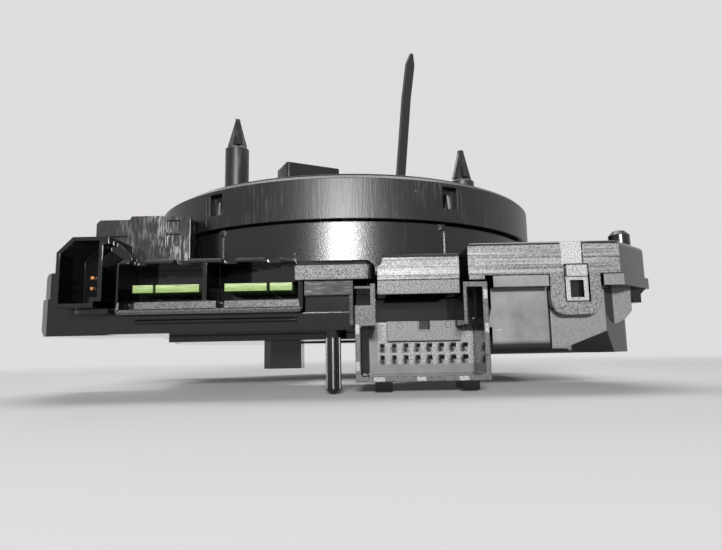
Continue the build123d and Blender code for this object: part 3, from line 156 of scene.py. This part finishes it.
class Board:
    """The node tree of a new material, or of the world that is passed in."""

    def __init__(self, name=None, world=None):
        self.owner = world or bpy.data.materials.new(name)
        self.owner.use_nodes = True
        self.tree = self.owner.node_tree
        self.tree.nodes.clear()

    @functools.cached_property
    def place(self):
        """Object coordinates."""
        return self.node("ShaderNodeTexCoord", {}, {}, "Object")

    def node(self, kind, settings, values, output=0):
        """Adds a node: its settings first, then the values or links of its sockets."""
        made = self.tree.nodes.new(kind)
        for name, value in settings.items():
            setattr(made, name, value)
        for name, value in values.items():
            if isinstance(value, Wire):
                self.tree.links.new(value.socket, made.inputs[name])
            else:
                made.inputs[name].default_value = value
        return Wire(self, made.outputs[output])

    def axis(self, letter):
        """The place along one axis."""
        return self.node("ShaderNodeSeparateXYZ", {}, {"Vector": self.place}, letter)

    def stretched(self, scale, turn=(0, 0, 0)):
        """Object coordinates turned, then squeezed along each axis."""
        return self.node("ShaderNodeMapping", {}, {"Vector": self.place, "Rotation": turn, "Scale": scale})

    def noise(self, size, detail=2.0, roughness=0.5, at=None):
        """Cloudy noise with features of that size in metres."""
        return self.node("ShaderNodeTexNoise", {}, {
            "Vector": at or self.place, "Scale": 1 / size, "Detail": detail, "Roughness": roughness})

    def band(self, value, low, high):
        """A value remapped so that low becomes 0 and high becomes 1."""
        return self.node("ShaderNodeMapRange", {}, {"Value": value, "From Min": low, "From Max": high})

    def tint(self, mask, dark, light):
        """A colour between two, by a mask."""
        factor, first, second, mixed = 0, 6, 7, 2
        dark, light = (colour if isinstance(colour, Wire) else (*colour, 1) for colour in (dark, light))
        return self.node(
            "ShaderNodeMix", {"data_type": "RGBA"}, {factor: mask, first: dark, second: light}, mixed)

    def specks(self, size, share):
        """A mask of sparse round specks: a share of the cells has one in its middle."""
        spacing = 6
        cells = {"Vector": self.place, "Scale": 1 / (size * spacing)}
        away = self.node("ShaderNodeTexVoronoi", {"feature": "F1"}, cells, "Distance")
        shade = self.node("ShaderNodeTexVoronoi", {"feature": "F1"}, cells, "Color")
        luck = self.node("ShaderNodeSeparateColor", {}, {"Color": shade}, "Red")
        return (away < 0.5 / spacing) * (luck < share)

    def seen(self):
        """1 for what the camera sees, straight, mirrored or through glass, and 0 for the light itself."""
        rays = ("Is Camera Ray", "Is Glossy Ray", "Is Transmission Ray")
        camera, glossy, through = (self.node("ShaderNodeLightPath", {}, {}, ray) for ray in rays)
        return self.band(camera + glossy + through, 0.0, 1.0)

    def relief(self, height, depth, strength, radius):
        """Normals lifted by a height, with every edge rounded off."""
        edges = self.node("ShaderNodeBevel", {"samples": 4}, {"Radius": radius})
        return self.node("ShaderNodeBump", {}, {
            "Height": height, "Distance": depth, "Strength": strength, "Normal": edges})

    def finish(self, values):
        """Closes the tree with a Principled surface."""
        self.node_out(self.node("ShaderNodeBsdfPrincipled", {}, values))
        return self.owner

    def node_out(self, shader, kind="ShaderNodeOutputMaterial"):
        """Leads a shader to the tree's output."""
        out = self.tree.nodes.new(kind)
        self.tree.links.new(shader.socket, out.inputs["Surface"])


def finishes():
    """The colours and sizes that the panel shows."""
    return bpy.context.scene.clock_spring_finish


def scaled(colour, factor):
    """A colour made darker or paler."""
    return tuple(factor * channel for channel in colour)


def grain_tones(level, contrast):
    """The dark and the pale tone of a grained face."""
    return [scaled(finishes().grained_black, level * share) for share in (1 - contrast, 1 + contrast)]


# ------------------------------------------------------------------ materials
def smooth_black(name="smooth_black", rough=0.05, lift=1.0, dusty=0.008):
    """Smooth black moulding with faint wipe marks and a few dust specks."""
    look, board = finishes(), Board(name)
    smudge = board.noise(9 * MM, 3, 0.55)
    fine = board.noise(0.6 * MM, 2)
    dust = board.specks(0.18 * MM, dusty)
    dark = scaled(look.moulded_black, lift)
    base = board.tint(board.band(smudge, 0.50, 0.75) * 0.5, dark, scaled(dark, 2.2))
    base = board.tint(dust, base, (0.16, 0.16, 0.155))
    normal = board.relief(fine, 0.01 * MM, 0.2, look.edge_radius)
    return board.finish({"Base Color": base, "Roughness": rough + 0.03 * smudge, "Normal": normal})


def drum_black(name, streaky, sparkle, rough):
    """Black of the drum's rings: drawn streaks on the upper one, sparkling grain on the lower one."""
    look, board = finishes(), Board(name)
    drawn = board.noise(1.0, 3, 0.7, board.stretched((1500, 1500, 110)))
    speckle = board.noise(look.grain * 0.8, 1, 0.6)
    dust = board.specks(0.22 * MM, 0.02)
    scuffs = board.band(drawn, 0.50, 0.68) * board.band(board.noise(10 * MM), 0.40, 0.62)
    base = board.tint(scuffs * (0.5 * streaky), look.moulded_black, (0.07, 0.07, 0.072))
    base = board.tint(dust, base, SCUFF)
    height = speckle * sparkle + drawn * streaky
    normal = board.relief(height, 0.06 * MM, 0.5, look.edge_radius)
    return board.finish({
        "Base Color": base, "Roughness": rough + 0.22 * sparkle * (speckle - 0.5) + 0.06 * scuffs,
        "Normal": normal})


def grained_black(name, level, contrast, rough=0.42):
    """Spark-eroded black that sparkles where it faces the lamp."""
    look, board = finishes(), Board(name)
    coarse = board.noise(look.grain, 1.0, 0.6)
    fine = board.noise(look.grain * 0.45, 1.0, 0.6)
    broad = board.noise(6 * MM, 2)
    grain = board.band(coarse * 0.6 + fine * 0.4, 0.36, 0.62)
    base = board.tint(grain * (0.7 + 0.6 * broad), *grain_tones(level, contrast))
    normal = board.relief(coarse, 0.05 * MM, 0.35, look.edge_radius)
    return board.finish({
        "Base Color": base, "Roughness": rough + 0.10 * broad - 0.10 * grain, "Normal": normal})


def ribbed_black(name, level, contrast):
    """Grained black with fine level lines that the cutter left along the face."""
    look, board = finishes(), Board(name)
    speckle = board.noise(look.grain, 1.0, 0.6)
    lines = board.noise(1.0, 2, 0.65, board.stretched((30, 30, 1900)))
    grain = board.band(speckle * 0.42 + lines * 0.58, 0.38, 0.62)
    base = board.tint(grain, *grain_tones(level, contrast))
    normal = board.relief(speckle * 0.5 + lines, 0.05 * MM, 0.35, look.edge_radius)
    return board.finish({"Base Color": base, "Roughness": 0.46 - 0.12 * grain, "Normal": normal})


def drawn_black():
    """Black with short upright streaks that grow towards the drum, as on the upper terminal box."""
    look, board = finishes(), Board("drawn_black")
    streaks = board.noise(1.0, 3, 0.65, board.stretched((2100, 2100, 300)))
    patch = board.band(board.noise(6 * MM, 2), 0.40, 0.62)
    toward_drum = board.band(board.axis("X"), -52 * MM, -40 * MM)
    mask = board.band(streaks, 0.46, 0.66) * (0.15 + 0.85 * patch) * (0.08 + 0.92 * toward_drum)
    base = board.tint(mask, (0.020, 0.020, 0.020), (0.34, 0.34, 0.335))
    normal = board.relief(streaks, 0.03 * MM, 0.3, look.edge_radius)
    return board.finish({"Base Color": base, "Roughness": 0.16 + 0.25 * mask, "Normal": normal})


def satin_panel():
    """Front panel of the deep box: satin, paler in the middle, with small scuffs; its foot, where the face
    rounds under, is painted black as shade.
    """
    look, board = finishes(), Board("satin_panel")
    cloud = board.noise(6 * MM, 3, 0.5)
    # painted shade: this mask is 0 on the foot, which keeps the moulded black where the face rounds under
    unshaded_face = board.band(board.axis("Z"), -2.1 * MM, -1.2 * MM)
    middle = board.band(cloud, 0.30, 0.72)
    base = board.tint(unshaded_face * (0.40 + 0.60 * middle), look.moulded_black, (0.21, 0.21, 0.205))
    nicks = board.noise(1.0, 2, 0.6, board.stretched((300, 300, 2600)))
    base = board.tint(board.band(nicks, 0.72, 0.76) * unshaded_face * 0.5, base, SCUFF)
    normal = board.relief(board.noise(0.3 * MM, 2), 0.01 * MM, 0.3, look.edge_radius)
    return board.finish({
        "Base Color": base, "Roughness": 0.12 + 0.30 * unshaded_face + 0.10 * cloud, "Normal": normal})


def ledge_grain():
    """Grain of the ledge over the pins, with painted shade darkening its middle recess."""
    look, board = finishes(), Board("ledge_grain")
    across, height = board.axis("X"), board.axis("Z")
    recess_shade = (across > 17.4 * MM) * (across < 19.8 * MM) * (height > 1.6 * MM)
    grain = board.band(board.noise(look.grain, 1.0, 0.6), 0.36, 0.62)
    broad = board.band(board.noise(3 * MM, 2), 0.30, 0.70)
    base = board.tint(grain * 0.6 + broad * 0.4, (0.05, 0.05, 0.05), (0.22, 0.22, 0.22))
    # painted shade: the middle recess is tinted near-black
    base = board.tint(recess_shade, base, (0.008, 0.008, 0.008))
    normal = board.relief(grain, 0.03 * MM, 0.3, look.edge_radius)
    return board.finish({
        "Base Color": base, "Roughness": 0.44 + 0.10 * broad + 0.16 * recess_shade, "Normal": normal})


def scored_panel():
    """Small front panel, scratched by handling."""
    look, board = finishes(), Board("scored_panel")
    cloud = board.noise(4 * MM, 3, 0.55)
    scratch = board.noise(1.0, 2, 0.7, board.stretched((420, 420, 4200), (0, 0.7, 0)))
    pale = board.band(cloud, 0.30, 0.75) * 0.6 + board.band(scratch, 0.50, 0.66) * 0.7
    base = board.tint(pale, (0.002, 0.002, 0.002), (0.030, 0.030, 0.029))
    normal = board.relief(scratch, 0.03 * MM, 0.4, look.edge_radius)
    return board.finish({"Base Color": base, "Roughness": 0.66 - 0.18 * pale, "Normal": normal})


def header_back():
    """Back wall of the header: pale grain round the pins, smoother below, with painted shade making it black
    above the ledge and along its left side.
    """
    look, board = finishes(), Board("header_back")
    across, height = board.axis("X"), board.axis("Z")
    grain = board.band(board.noise(look.grain, 1.0, 0.6), 0.36, 0.62)
    broad = board.noise(4 * MM, 2)
    pins = board.band(height, -6.2 * MM, -5.6 * MM) * board.band(across, 8.0 * MM, 8.4 * MM)
    base = board.tint(grain, (0.09, 0.09, 0.09), (0.36, 0.36, 0.36))
    base = board.tint(pins, board.tint(broad, (0.07, 0.07, 0.07), (0.16, 0.16, 0.16)), base)
    below = (1 - board.band(height, 3.0 * MM, 3.4 * MM)) * board.band(across, 6.2 * MM, 6.6 * MM)
    # painted shade: above the ledge and along the left side the wall is tinted moulded black for the shade
    # that falls there
    painted_shade = 1 - below
    base = board.tint(painted_shade, base, look.moulded_black)
    normal = board.relief(grain * pins * (1 - painted_shade), 0.03 * MM, 0.3, look.edge_radius)
    return board.finish({"Base Color": base, "Roughness": 0.50 - 0.42 * painted_shade, "Normal": normal})


def board_laminate():
    """Green glass-fibre board with a paler, streaky cut edge, and painted shade darkening it deeper inside
    the slot.
    """
    look, board = finishes(), Board("board_laminate")
    plies = board.noise(1.0, 2, 0.6, board.stretched((350, 350, 5200)))
    fibres = board.noise(0.4 * MM, 2)
    upper = board.band(board.axis("Z"), 10.5 * MM, 11.2 * MM)
    slot_shade = board.band(board.axis("Y"), -54.5 * MM, -51.5 * MM)
    base = board.tint(board.band(plies, 0.35, 0.70), scaled(look.laminate, 0.60), look.laminate)
    base = board.tint(upper * board.band(plies, 0.30, 0.60) * 0.8, base, (0.46, 0.55, 0.30))
    base = board.tint(board.band(fibres, 0.58, 0.75) * 0.4, base, (0.40, 0.52, 0.25))
    # painted shade: deeper into the slot the board is tinted dark
    base = board.tint(slot_shade, base, (0.03, 0.10, 0.025))
    normal = board.relief(fibres, 0.03 * MM, 0.4, 0.15 * MM)
    return board.finish({"Base Color": base, "Roughness": 0.50 + 0.15 * fibres, "Normal": normal})


def plated_metal(name, colour, rough=0.22):
    """Plated pins and contacts, wiped along their length."""
    board = Board(name)
    wipe = board.noise(1.0, 2, 0.6, board.stretched((3500, 500, 3500)))
    tarnish = board.noise(0.9 * MM, 2)
    base = board.tint(board.band(tarnish, 0.45, 0.75), colour, scaled(colour, 0.45))
    normal = board.relief(wipe, 0.02 * MM, 0.3, 0.12 * MM)
    return board.finish({
        "Base Color": base, "Roughness": rough + rough * wipe, "Metallic": 1.0, "Normal": normal})


def plain_moulding(name, colour, rough):
    """Fine-grained plastic, magnet or film with a slight mottle."""
    board = Board(name)
    mottle = board.noise(1.2 * MM, 3)
    base = board.tint(mottle * 0.4, colour, scaled(colour, 0.7))
    normal = board.relief(board.noise(0.3 * MM), 0.02 * MM, 0.3, 0.15 * MM)
    return board.finish({"Base Color": base, "Roughness": rough + 0.15 * mottle, "Normal": normal})


def tie_nylon():
    """Black nylon with fine streaks along the strap."""
    look, board = finishes(), Board("tie_nylon")
    streaks = board.noise(1.0, 2, 0.6, board.stretched((2500, 2500, 300)))
    base = board.tint(streaks * 0.5, look.moulded_black, (0.02, 0.02, 0.02))
    normal = board.relief(streaks, 0.03 * MM, 0.4, 0.3 * MM)
    return board.finish({"Base Color": base, "Roughness": 0.26 + 0.15 * streaks, "Normal": normal})


# ------------------------------------------------------------------ operators
def region(x=(-90, 90), y=(-90, 90), z=(-40, 90), facing=(0, -1, 0)):
    """A test for faces inside a box in millimetres that look one way."""
    way = Vector(facing)

    def covers(unshaded_face):
        spans = zip(unshaded_face.center / MM, (x, y, z))
        return unshaded_face.normal.dot(way) > 0.9 and all(low <= at <= high for at, (low, high) in spans)

    return covers


def front_of(node):
    """How far forward a solid reaches, in millimetres."""
    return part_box(node)[0].y / MM


def near(place, slack=0.1):
    """The span round a place, in millimetres."""
    return place - slack, place + slack


def wear(node, material, *patches):
    """Gives a solid its finish. A patch is another finish, with the regions whose faces it covers."""
    mesh = NODES[node].data
    mesh.materials.clear()
    mesh.materials.append(material)
    for other, *regions in patches:
        mesh.materials.append(other)
        for unshaded_face in mesh.polygons:
            if any(covers(unshaded_face) for covers in regions):
                unshaded_face.material_index = len(mesh.materials) - 1


class CLOCKSPRING_OT_drum(bpy.types.Operator):
    """Finish the drum and what stands on it"""

    bl_idname = "clockspring.drum"
    bl_label = "Finish the drum"

    def execute(self, context):
        smooth = smooth_black("drum_smooth", 0.18)
        wear("rotor_cover", drum_black("upper_ring", 1.2, 0.5, 0.38))
        wear("drum_case", drum_black("lower_ring", 0.10, 0.75, 0.26))
        for node in ("rotor_hub", "retaining_collar", "rotor_socket"):
            wear(node, smooth)
        wear("cable_tie", tie_nylon())
        return {"FINISHED"}


class CLOCKSPRING_OT_housing(bpy.types.Operator):
    """Finish the fixed housing and its covers"""

    bl_idname = "clockspring.housing"
    bl_label = "Finish the housing and the covers"

    def execute(self, context):
        smooth = smooth_black()
        self.lower_housing(smooth)
        self.covers(smooth)
        for node in ("bottom_plate", "left_deck"):
            wear(node, smooth)
        wear("cover_screw", smooth_black("screw_black", 0.20))
        wear("upper_terminal_box", drawn_black())
        return {"FINISHED"}

    def lower_housing(self, smooth):
        """The deep box's panels and rail, and the snap catch."""
        rail = near(front_of("lower_housing"))
        panel, step, catch = near(-55.0, 0.3), near(-52.0, 0.3), near(-57.3, 0.3)
        wear("lower_housing", smooth,
             (satin_panel(), region(x=(31, 43.4), y=panel), region(x=(31, 46), y=rail)),
             (grained_black("box_grain", 0.15, 0.25, 0.46),
              region(x=(43.5, 55), y=panel), region(x=(51, 58), y=rail), region(x=(55, 62), y=step)),
             (grained_black("catch_grain", 0.30, 0.6), region(x=(46, 51), y=catch)))

    def covers(self, smooth):
        """The ribbed covers over the board and the panel between them."""
        front = near(front_of("electronics_cover"))
        strap, foot, panel = near(-56.7, 0.3), near(-57.0), near(-56.9, 0.5)
        ribs, loop = (11.9, 18.8), (3.0, 11.9)
        wear("electronics_cover", smooth,
             (ribbed_black("cover_ribs", 0.15, 0.95), region(y=front, z=ribs)),
             (grained_black("loop_grain", 0.12, 0.9, 0.50), region(y=front, z=loop)),
             (grained_black("strap_grain", 0.38, 0.5, 0.36), region(y=strap, z=ribs)))
        wear("header_bonnet", smooth,
             (ribbed_black("bonnet_ribs", 0.15, 0.8), region(y=front)),
             (grained_black("bonnet_foot", 0.11, 0.95, 0.5), region(y=foot)))
        wear("middle_cover", smooth,
             (grained_black("cover_grain", 0.085, 0.95, 0.50), region(y=near(-57.45, 0.15))))
        wear("middle_panel", smooth, (scored_panel(), region(y=panel)))


class CLOCKSPRING_OT_sockets(bpy.types.Operator):
    """Finish the sockets in the front"""

    bl_idname = "clockspring.sockets"
    bl_label = "Finish the sockets"

    def execute(self, context):
        smooth = smooth_black("socket_smooth", 0.05)
        front, groove, back = near(front_of("edge_sockets")), near(-57.05), near(-45.7, 0.3)
        forward_and_down = (0, -0.71, -0.71)
        wear("edge_sockets", smooth,
             (grained_black("lip_grain", 0.075, 1.0, 0.52),
              region(y=front, z=(5.2, 8.0)), region(y=groove, z=(5.9, 6.4)),
              region(z=(5.2, 6.4), facing=forward_and_down)))
        wear("left_socket", smooth)
        wear("header_shell", smooth,
             (grained_black("rim_grain", 0.05, 0.8, 0.52), region(y=front)),
             (header_back(), region(x=(4.5, 29.4), y=back)))
        wear("header_ledge", ledge_grain())
        return {"FINISHED"}


class CLOCKSPRING_OT_inner_parts(bpy.types.Operator):
    """Finish the board, the metal and the parts inside"""

    bl_idname = "clockspring.inner_parts"
    bl_label = "Finish the board, metal and inner parts"

    def execute(self, context):
        gear = plain_moulding("gear_plastic", (0.72, 0.71, 0.66), 0.42)
        lead = plain_moulding("lead_block", (0.05, 0.05, 0.05), 0.5)
        magnet = plain_moulding("magnet_grey", (0.10, 0.10, 0.11), 0.45)
        wanted = {
            "main_board": board_laminate(),
            "board_chips": plain_moulding("chip_epoxy", (0.02, 0.02, 0.022), 0.5),
            "left_socket_pins": plated_metal("copper_plate", (0.80, 0.36, 0.13)),
            # painted reflection: the tin pins are coloured near-black for the dark surroundings they mirror
            "header_pins": plated_metal("tin_painted_dark", (0.03, 0.03, 0.03), 0.08),
            "rotor_socket_pins": plated_metal("tin_plate", (0.42, 0.41, 0.38)),
            "flat_ribbon": plain_moulding("ribbon_film", (0.45, 0.20, 0.05), 0.25),
            "case_lead_block": lead, "rotor_lead_block": lead,
            "sensor_ring": gear, "measuring_gear_a": gear, "measuring_gear_b": gear,
            "gear_magnet_a": magnet, "gear_magnet_b": magnet,
        }
        for node, material in wanted.items():
            wear(node, material)
        return {"FINISHED"}


def add_piece(name, mesh, material):
    """Puts a finished bmesh into the scene as a piece of the fixed body."""
    bmesh.ops.remove_doubles(mesh, verts=mesh.verts, dist=0.0001 * MM)
    bmesh.ops.recalc_face_normals(mesh, faces=mesh.faces)
    data = bpy.data.meshes.new(name)
    mesh.to_mesh(data)
    mesh.free()
    data.materials.append(material)
    piece = bpy.data.objects.new(name, data)
    bpy.context.scene.collection.objects.link(piece)
    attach(piece, "base")


def block(mesh, x, y, z, bevel=0.0):
    """A block between limits in millimetres, its edges bevelled."""
    spans = [high - low for low, high in (x, y, z)]
    middle = [(high + low) / 2 for low, high in (x, y, z)]
    shape = Matrix.Translation(Vector(middle) * MM) @ Matrix.Diagonal((*(MM * span for span in spans), 1))
    corners = bmesh.ops.create_cube(mesh, size=1, matrix=shape)["verts"]
    if bevel:
        edges = {edge for corner in corners for edge in corner.link_edges}
        bmesh.ops.bevel(
            mesh, geom=list(edges), offset=bevel * MM, segments=2, profile=0.5, affect="EDGES", material=-1)


def ring_mark(mesh, x, z, y, radius, width, proud):
    """The round witness mark that an ejector leaves on a front face."""
    rim = [(radius - width, y), (radius - width, y - proud), (radius, y - proud), (radius, y)]
    corners = [mesh.verts.new((MM * (x + out), MM * depth, MM * z)) for out, depth in rim]
    edges = [mesh.edges.new(pair) for pair in zip(corners, corners[1:])]
    bmesh.ops.spin(
        mesh, geom=corners + edges, cent=(MM * x, 0, MM * z), axis=(0, 1, 0), angle=math.tau, steps=24,
        use_merge=True)


class CLOCKSPRING_OT_header_trim(bpy.types.Operator):
    """Add the header's pin tips, rim pads and ejector marks"""

    bl_idname = "clockspring.header_trim"
    bl_label = "Trim the header"

    def execute(self, context):
        self.pin_tips()
        self.rim_pads()
        self.ejector_marks()
        return {"FINISHED"}

    def pin_tips(self):
        """A tapered four-sided tip on each of the two rows of eight pins, wider than the pin and black,
        painting the pin's shadow halo and its dark reflection.
        """
        columns, rows, pitch, half = 8, 2, 2.54, 0.32
        root, nose, length, sunk = 0.78, 0.50, 1.4, 0.55
        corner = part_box("header_pins")[0] / MM
        forward = Matrix.Rotation(math.radians(90), 4, "X") @ Matrix.Rotation(math.radians(45), 4, "Z")
        tips = bmesh.new()
        for column in range(columns):
            for row in range(rows):
                middle = corner + Vector((half + pitch * column, sunk, half + pitch * row))
                bmesh.ops.create_cone(
                    tips, cap_ends=True, segments=4, radius1=root * MM, radius2=nose * MM, depth=length * MM,
                    matrix=Matrix.Translation(middle * MM) @ forward)
        # painted shade and reflection: the near-black metal and the extra width stand for the pin's shadow
        # and the dark surroundings it mirrors
        add_piece("pin_tips", tips, plated_metal("tip_black_painted_shade", (0.012, 0.012, 0.012), 0.10))

    def rim_pads(self):
        """Thin pads on the header's rim: three below and two at each side."""
        proud, sunk, bevel = 0.06, 0.10, 0.02
        front = front_of("header_shell")
        bottom, left, right = (-8.95, -8.05), (3.55, 4.4), (29.5, 30.35)
        places = [(x, bottom) for x in ((7.1, 9.3), (15.6, 17.5), (24.0, 26.0))]
        places += [(right, z) for z in ((7.1, 9.1), (0.3, 2.3))]
        places += [(left, z) for z in ((0.5, 2.5), (-6.8, -4.9))]
        pads = bmesh.new()
        for x, z in places:
            block(pads, x, (front - proud, front + sunk), z, bevel)
        add_piece("rim_pads", pads, grained_black("pad_grain", 0.26, 0.5, 0.44))

    def ejector_marks(self):
        """Two round marks on the ledge over the pins."""
        height, places = 2.6, (13.1, 23.7)
        marks = bmesh.new()
        for x in places:
            ring_mark(marks, x, height, front_of("header_ledge"), radius=0.75, width=0.14, proud=0.05)
        add_piece("ejector_marks", marks, smooth_black("mark_black", 0.40, 8.0))


class CLOCKSPRING_OT_housing_trim(bpy.types.Operator):
    """Add the catch's upper end and the guide pin's ridges"""

    bl_idname = "clockspring.housing_trim"
    bl_label = "Trim the housing"

    def execute(self, context):
        self.catch_end()
        self.pin_ridges()
        return {"FINISHED"}

    def catch_end(self):
        """The catch's upper end in the gap of the loop, and the sill of its window."""
        gap = bmesh.new()
        block(gap, (46.0, 51.0), (-57.62, -57.45), (11.55, 13.95), 0.03)
        add_piece("catch_gap", gap, smooth_black("gap_black"))
        catch = bmesh.new()
        block(catch, (46.35, 50.65), (-57.98, -57.3), (11.3, 13.7), 0.22)
        block(catch, (47.25, 49.85), (-57.40, -57.2), (6.80, 7.12), 0.05)
        add_piece("catch_end", catch, grained_black("end_grain", 0.30, 0.5))

    def pin_ridges(self):
        """Three ridges down the front of the guide pin, painted pale to stand for the glints along its
        flutes.
        """
        pin_x, pin_y, pin_radius = -1.15, -53.4, 1.6
        spacing, sunk, foot, top, length, middle = 1.28, 0.10, 0.16, 0.20, 10.4, -5.2
        ridges = bmesh.new()
        for across in (-spacing, 0.0, spacing):
            y = pin_y - math.sqrt(pin_radius ** 2 - across ** 2) + sunk
            bmesh.ops.create_cone(
                ridges, cap_ends=True, segments=12, radius1=foot * MM, radius2=top * MM, depth=length * MM,
                matrix=Matrix.Translation(MM * Vector((pin_x + across, y, middle))))
        # painted highlight: the ridges' pale grain stands for the flash's glints on the pin
        add_piece("pin_ridges", ridges, grained_black("ridge_painted_glint", 0.30, 0.4, 0.36))


def soft_box(name, at, toward, size, power):
    """An area lamp that the camera doesn't see."""
    lamp = bpy.data.lights.new(name, "AREA")
    lamp.shape = "RECTANGLE"
    lamp.size, lamp.size_y = size
    lamp.energy = power
    holder = bpy.data.objects.new(name, lamp)
    holder.location = at
    holder.rotation_euler = (Vector(toward) - Vector(at)).to_track_quat("-Z", "Y").to_euler()
    holder.visible_camera = False
    bpy.context.scene.collection.objects.link(holder)


class CLOCKSPRING_OT_studio(bpy.types.Operator):
    """Set up the floor, the lamps and the camera"""

    bl_idname = "clockspring.studio"
    bl_label = "Set up the studio"

    def execute(self, context):
        studio = context.scene.clock_spring_studio
        self.lay_floor(studio, cad_box[0].z)
        self.light(studio)
        self.aim_camera(context.scene, studio)
        context.scene.view_settings.view_transform = "Standard"
        return {"FINISHED"}

    def lay_floor(self, studio, level):
        """A sheet that runs back and sweeps up behind the object."""
        half, front, back, rise, bend, steps = 2.2, -1.6, 0.9, 2.4, 0.7, 16
        sweep = bmesh.new()
        line = [sweep.verts.new((-half, y, level)) for y in (front, back)]
        for step in range(1, steps + 1):
            angle = math.radians(90) * step / steps
            y, z = back + bend * math.sin(angle), level + bend * (1 - math.cos(angle))
            line.append(sweep.verts.new((-half, y, z)))
        line.append(sweep.verts.new((-half, back + bend, level + rise)))
        edges = [sweep.edges.new(pair) for pair in zip(line, line[1:])]
        moved = bmesh.ops.extrude_edge_only(sweep, edges=edges)["geom"]
        far_side = [part for part in moved if isinstance(part, bmesh.types.BMVert)]
        bmesh.ops.translate(sweep, vec=(2 * half, 0, 0), verts=far_side)
        bmesh.ops.recalc_face_normals(sweep, faces=sweep.faces)
        mesh = bpy.data.meshes.new("floor")
        sweep.to_mesh(mesh)
        sweep.free()
        mesh.shade_smooth()
        mesh.materials.append(self.floor_paper(studio.backdrop))
        floor = bpy.data.objects.new("floor", mesh)
        bpy.context.scene.collection.objects.link(floor)

    def floor_paper(self, colour):
        """Pale paper that takes the object's shadow near it and runs into the backdrop further out."""
        shadow_ends, plain_from, least = 0.17, 0.38, 0.05
        board = Board("floor_paper")
        tone = (*colour, 1)
        away = board.node("ShaderNodeVectorMath", {"operation": "LENGTH"}, {0: board.place}, "Value")
        share = least + (1 - least) * board.band(away, shadow_ends, plain_from)
        paper = board.node("ShaderNodeBsdfDiffuse", {}, {"Color": tone})
        glow = board.node("ShaderNodeEmission", {}, {"Color": tone, "Strength": 1.0})
        board.node_out(board.node("ShaderNodeMixShader", {}, {0: board.seen() * share, 1: paper, 2: glow}))
        return board.owner

    def light(self, studio):
        """A lamp over the camera, soft lamps overhead and behind, and a little light from all round."""
        soft_box("flash", (0.0, -0.60, 0.13), (0, -0.055, 0.015), (0.15, 0.05), studio.flash_power)
        soft_box("room_lamp", (0.0, 0.18, 0.60), (0, 0.04, 0), (0.6, 0.24), studio.room_power)
        soft_box("rim_lamp", (-0.35, 0.75, 0.45), (0, 0, 0.01), (0.5, 0.5), studio.rim_power)
        world = bpy.data.worlds.new("studio_air")
        bpy.context.scene.world = world
        board = Board(world=world)
        air = board.node("ShaderNodeBackground", {}, {
            "Color": (*studio.backdrop, 1), "Strength": board.seen() * (1 - studio.air) + studio.air})
        board.node_out(air, "ShaderNodeOutputWorld")

    def aim_camera(self, scene, studio):
        """The camera in front, low down and tilted up a little."""
        camera = bpy.data.cameras.new("camera")
        camera.lens = studio.lens
        camera.sensor_width = 36
        camera.clip_start = 0.005
        holder = bpy.data.objects.new("camera", camera)
        holder.matrix_world = (
            Matrix.Translation(studio.camera_at) @ Matrix.Rotation(studio.camera_turn, 4, "Z")
            @ Matrix.Rotation(math.radians(90) + studio.camera_pitch, 4, "X")
            @ Matrix.Rotation(studio.camera_roll, 4, "Z"))
        scene.collection.objects.link(holder)
        scene.camera = holder


STEPS = (
    CLOCKSPRING_OT_drum, CLOCKSPRING_OT_housing, CLOCKSPRING_OT_sockets, CLOCKSPRING_OT_inner_parts,
    CLOCKSPRING_OT_header_trim, CLOCKSPRING_OT_housing_trim, CLOCKSPRING_OT_studio,
)


class CLOCKSPRING_PT_panel(bpy.types.Panel):
    """Lists the steps and the settings"""

    bl_idname = "CLOCKSPRING_PT_panel"
    bl_label = "Clock Spring"
    bl_space_type = "VIEW_3D"
    bl_region_type = "UI"
    bl_category = "Clock Spring"

    def draw(self, context):
        for group in (context.scene.clock_spring_finish, context.scene.clock_spring_studio):
            box = self.layout.box()
            for name in group.__annotations__:
                box.prop(group, name)
        for step in STEPS:
            self.layout.operator(step.bl_idname)


CLASSES = (FinishSettings, StudioSettings, *STEPS, CLOCKSPRING_PT_panel)


def register():
    for cls in CLASSES:
        bpy.utils.register_class(cls)
    bpy.types.Scene.clock_spring_finish = PointerProperty(type=FinishSettings)
    bpy.types.Scene.clock_spring_studio = PointerProperty(type=StudioSettings)


def unregister():
    del bpy.types.Scene.clock_spring_studio
    del bpy.types.Scene.clock_spring_finish
    for cls in reversed(CLASSES):
        bpy.utils.unregister_class(cls)


def main():
    register()
    for step in STEPS:
        group, name = step.bl_idname.split(".")
        getattr(getattr(bpy.ops, group), name)()


if __name__ == "__main__":
    main()
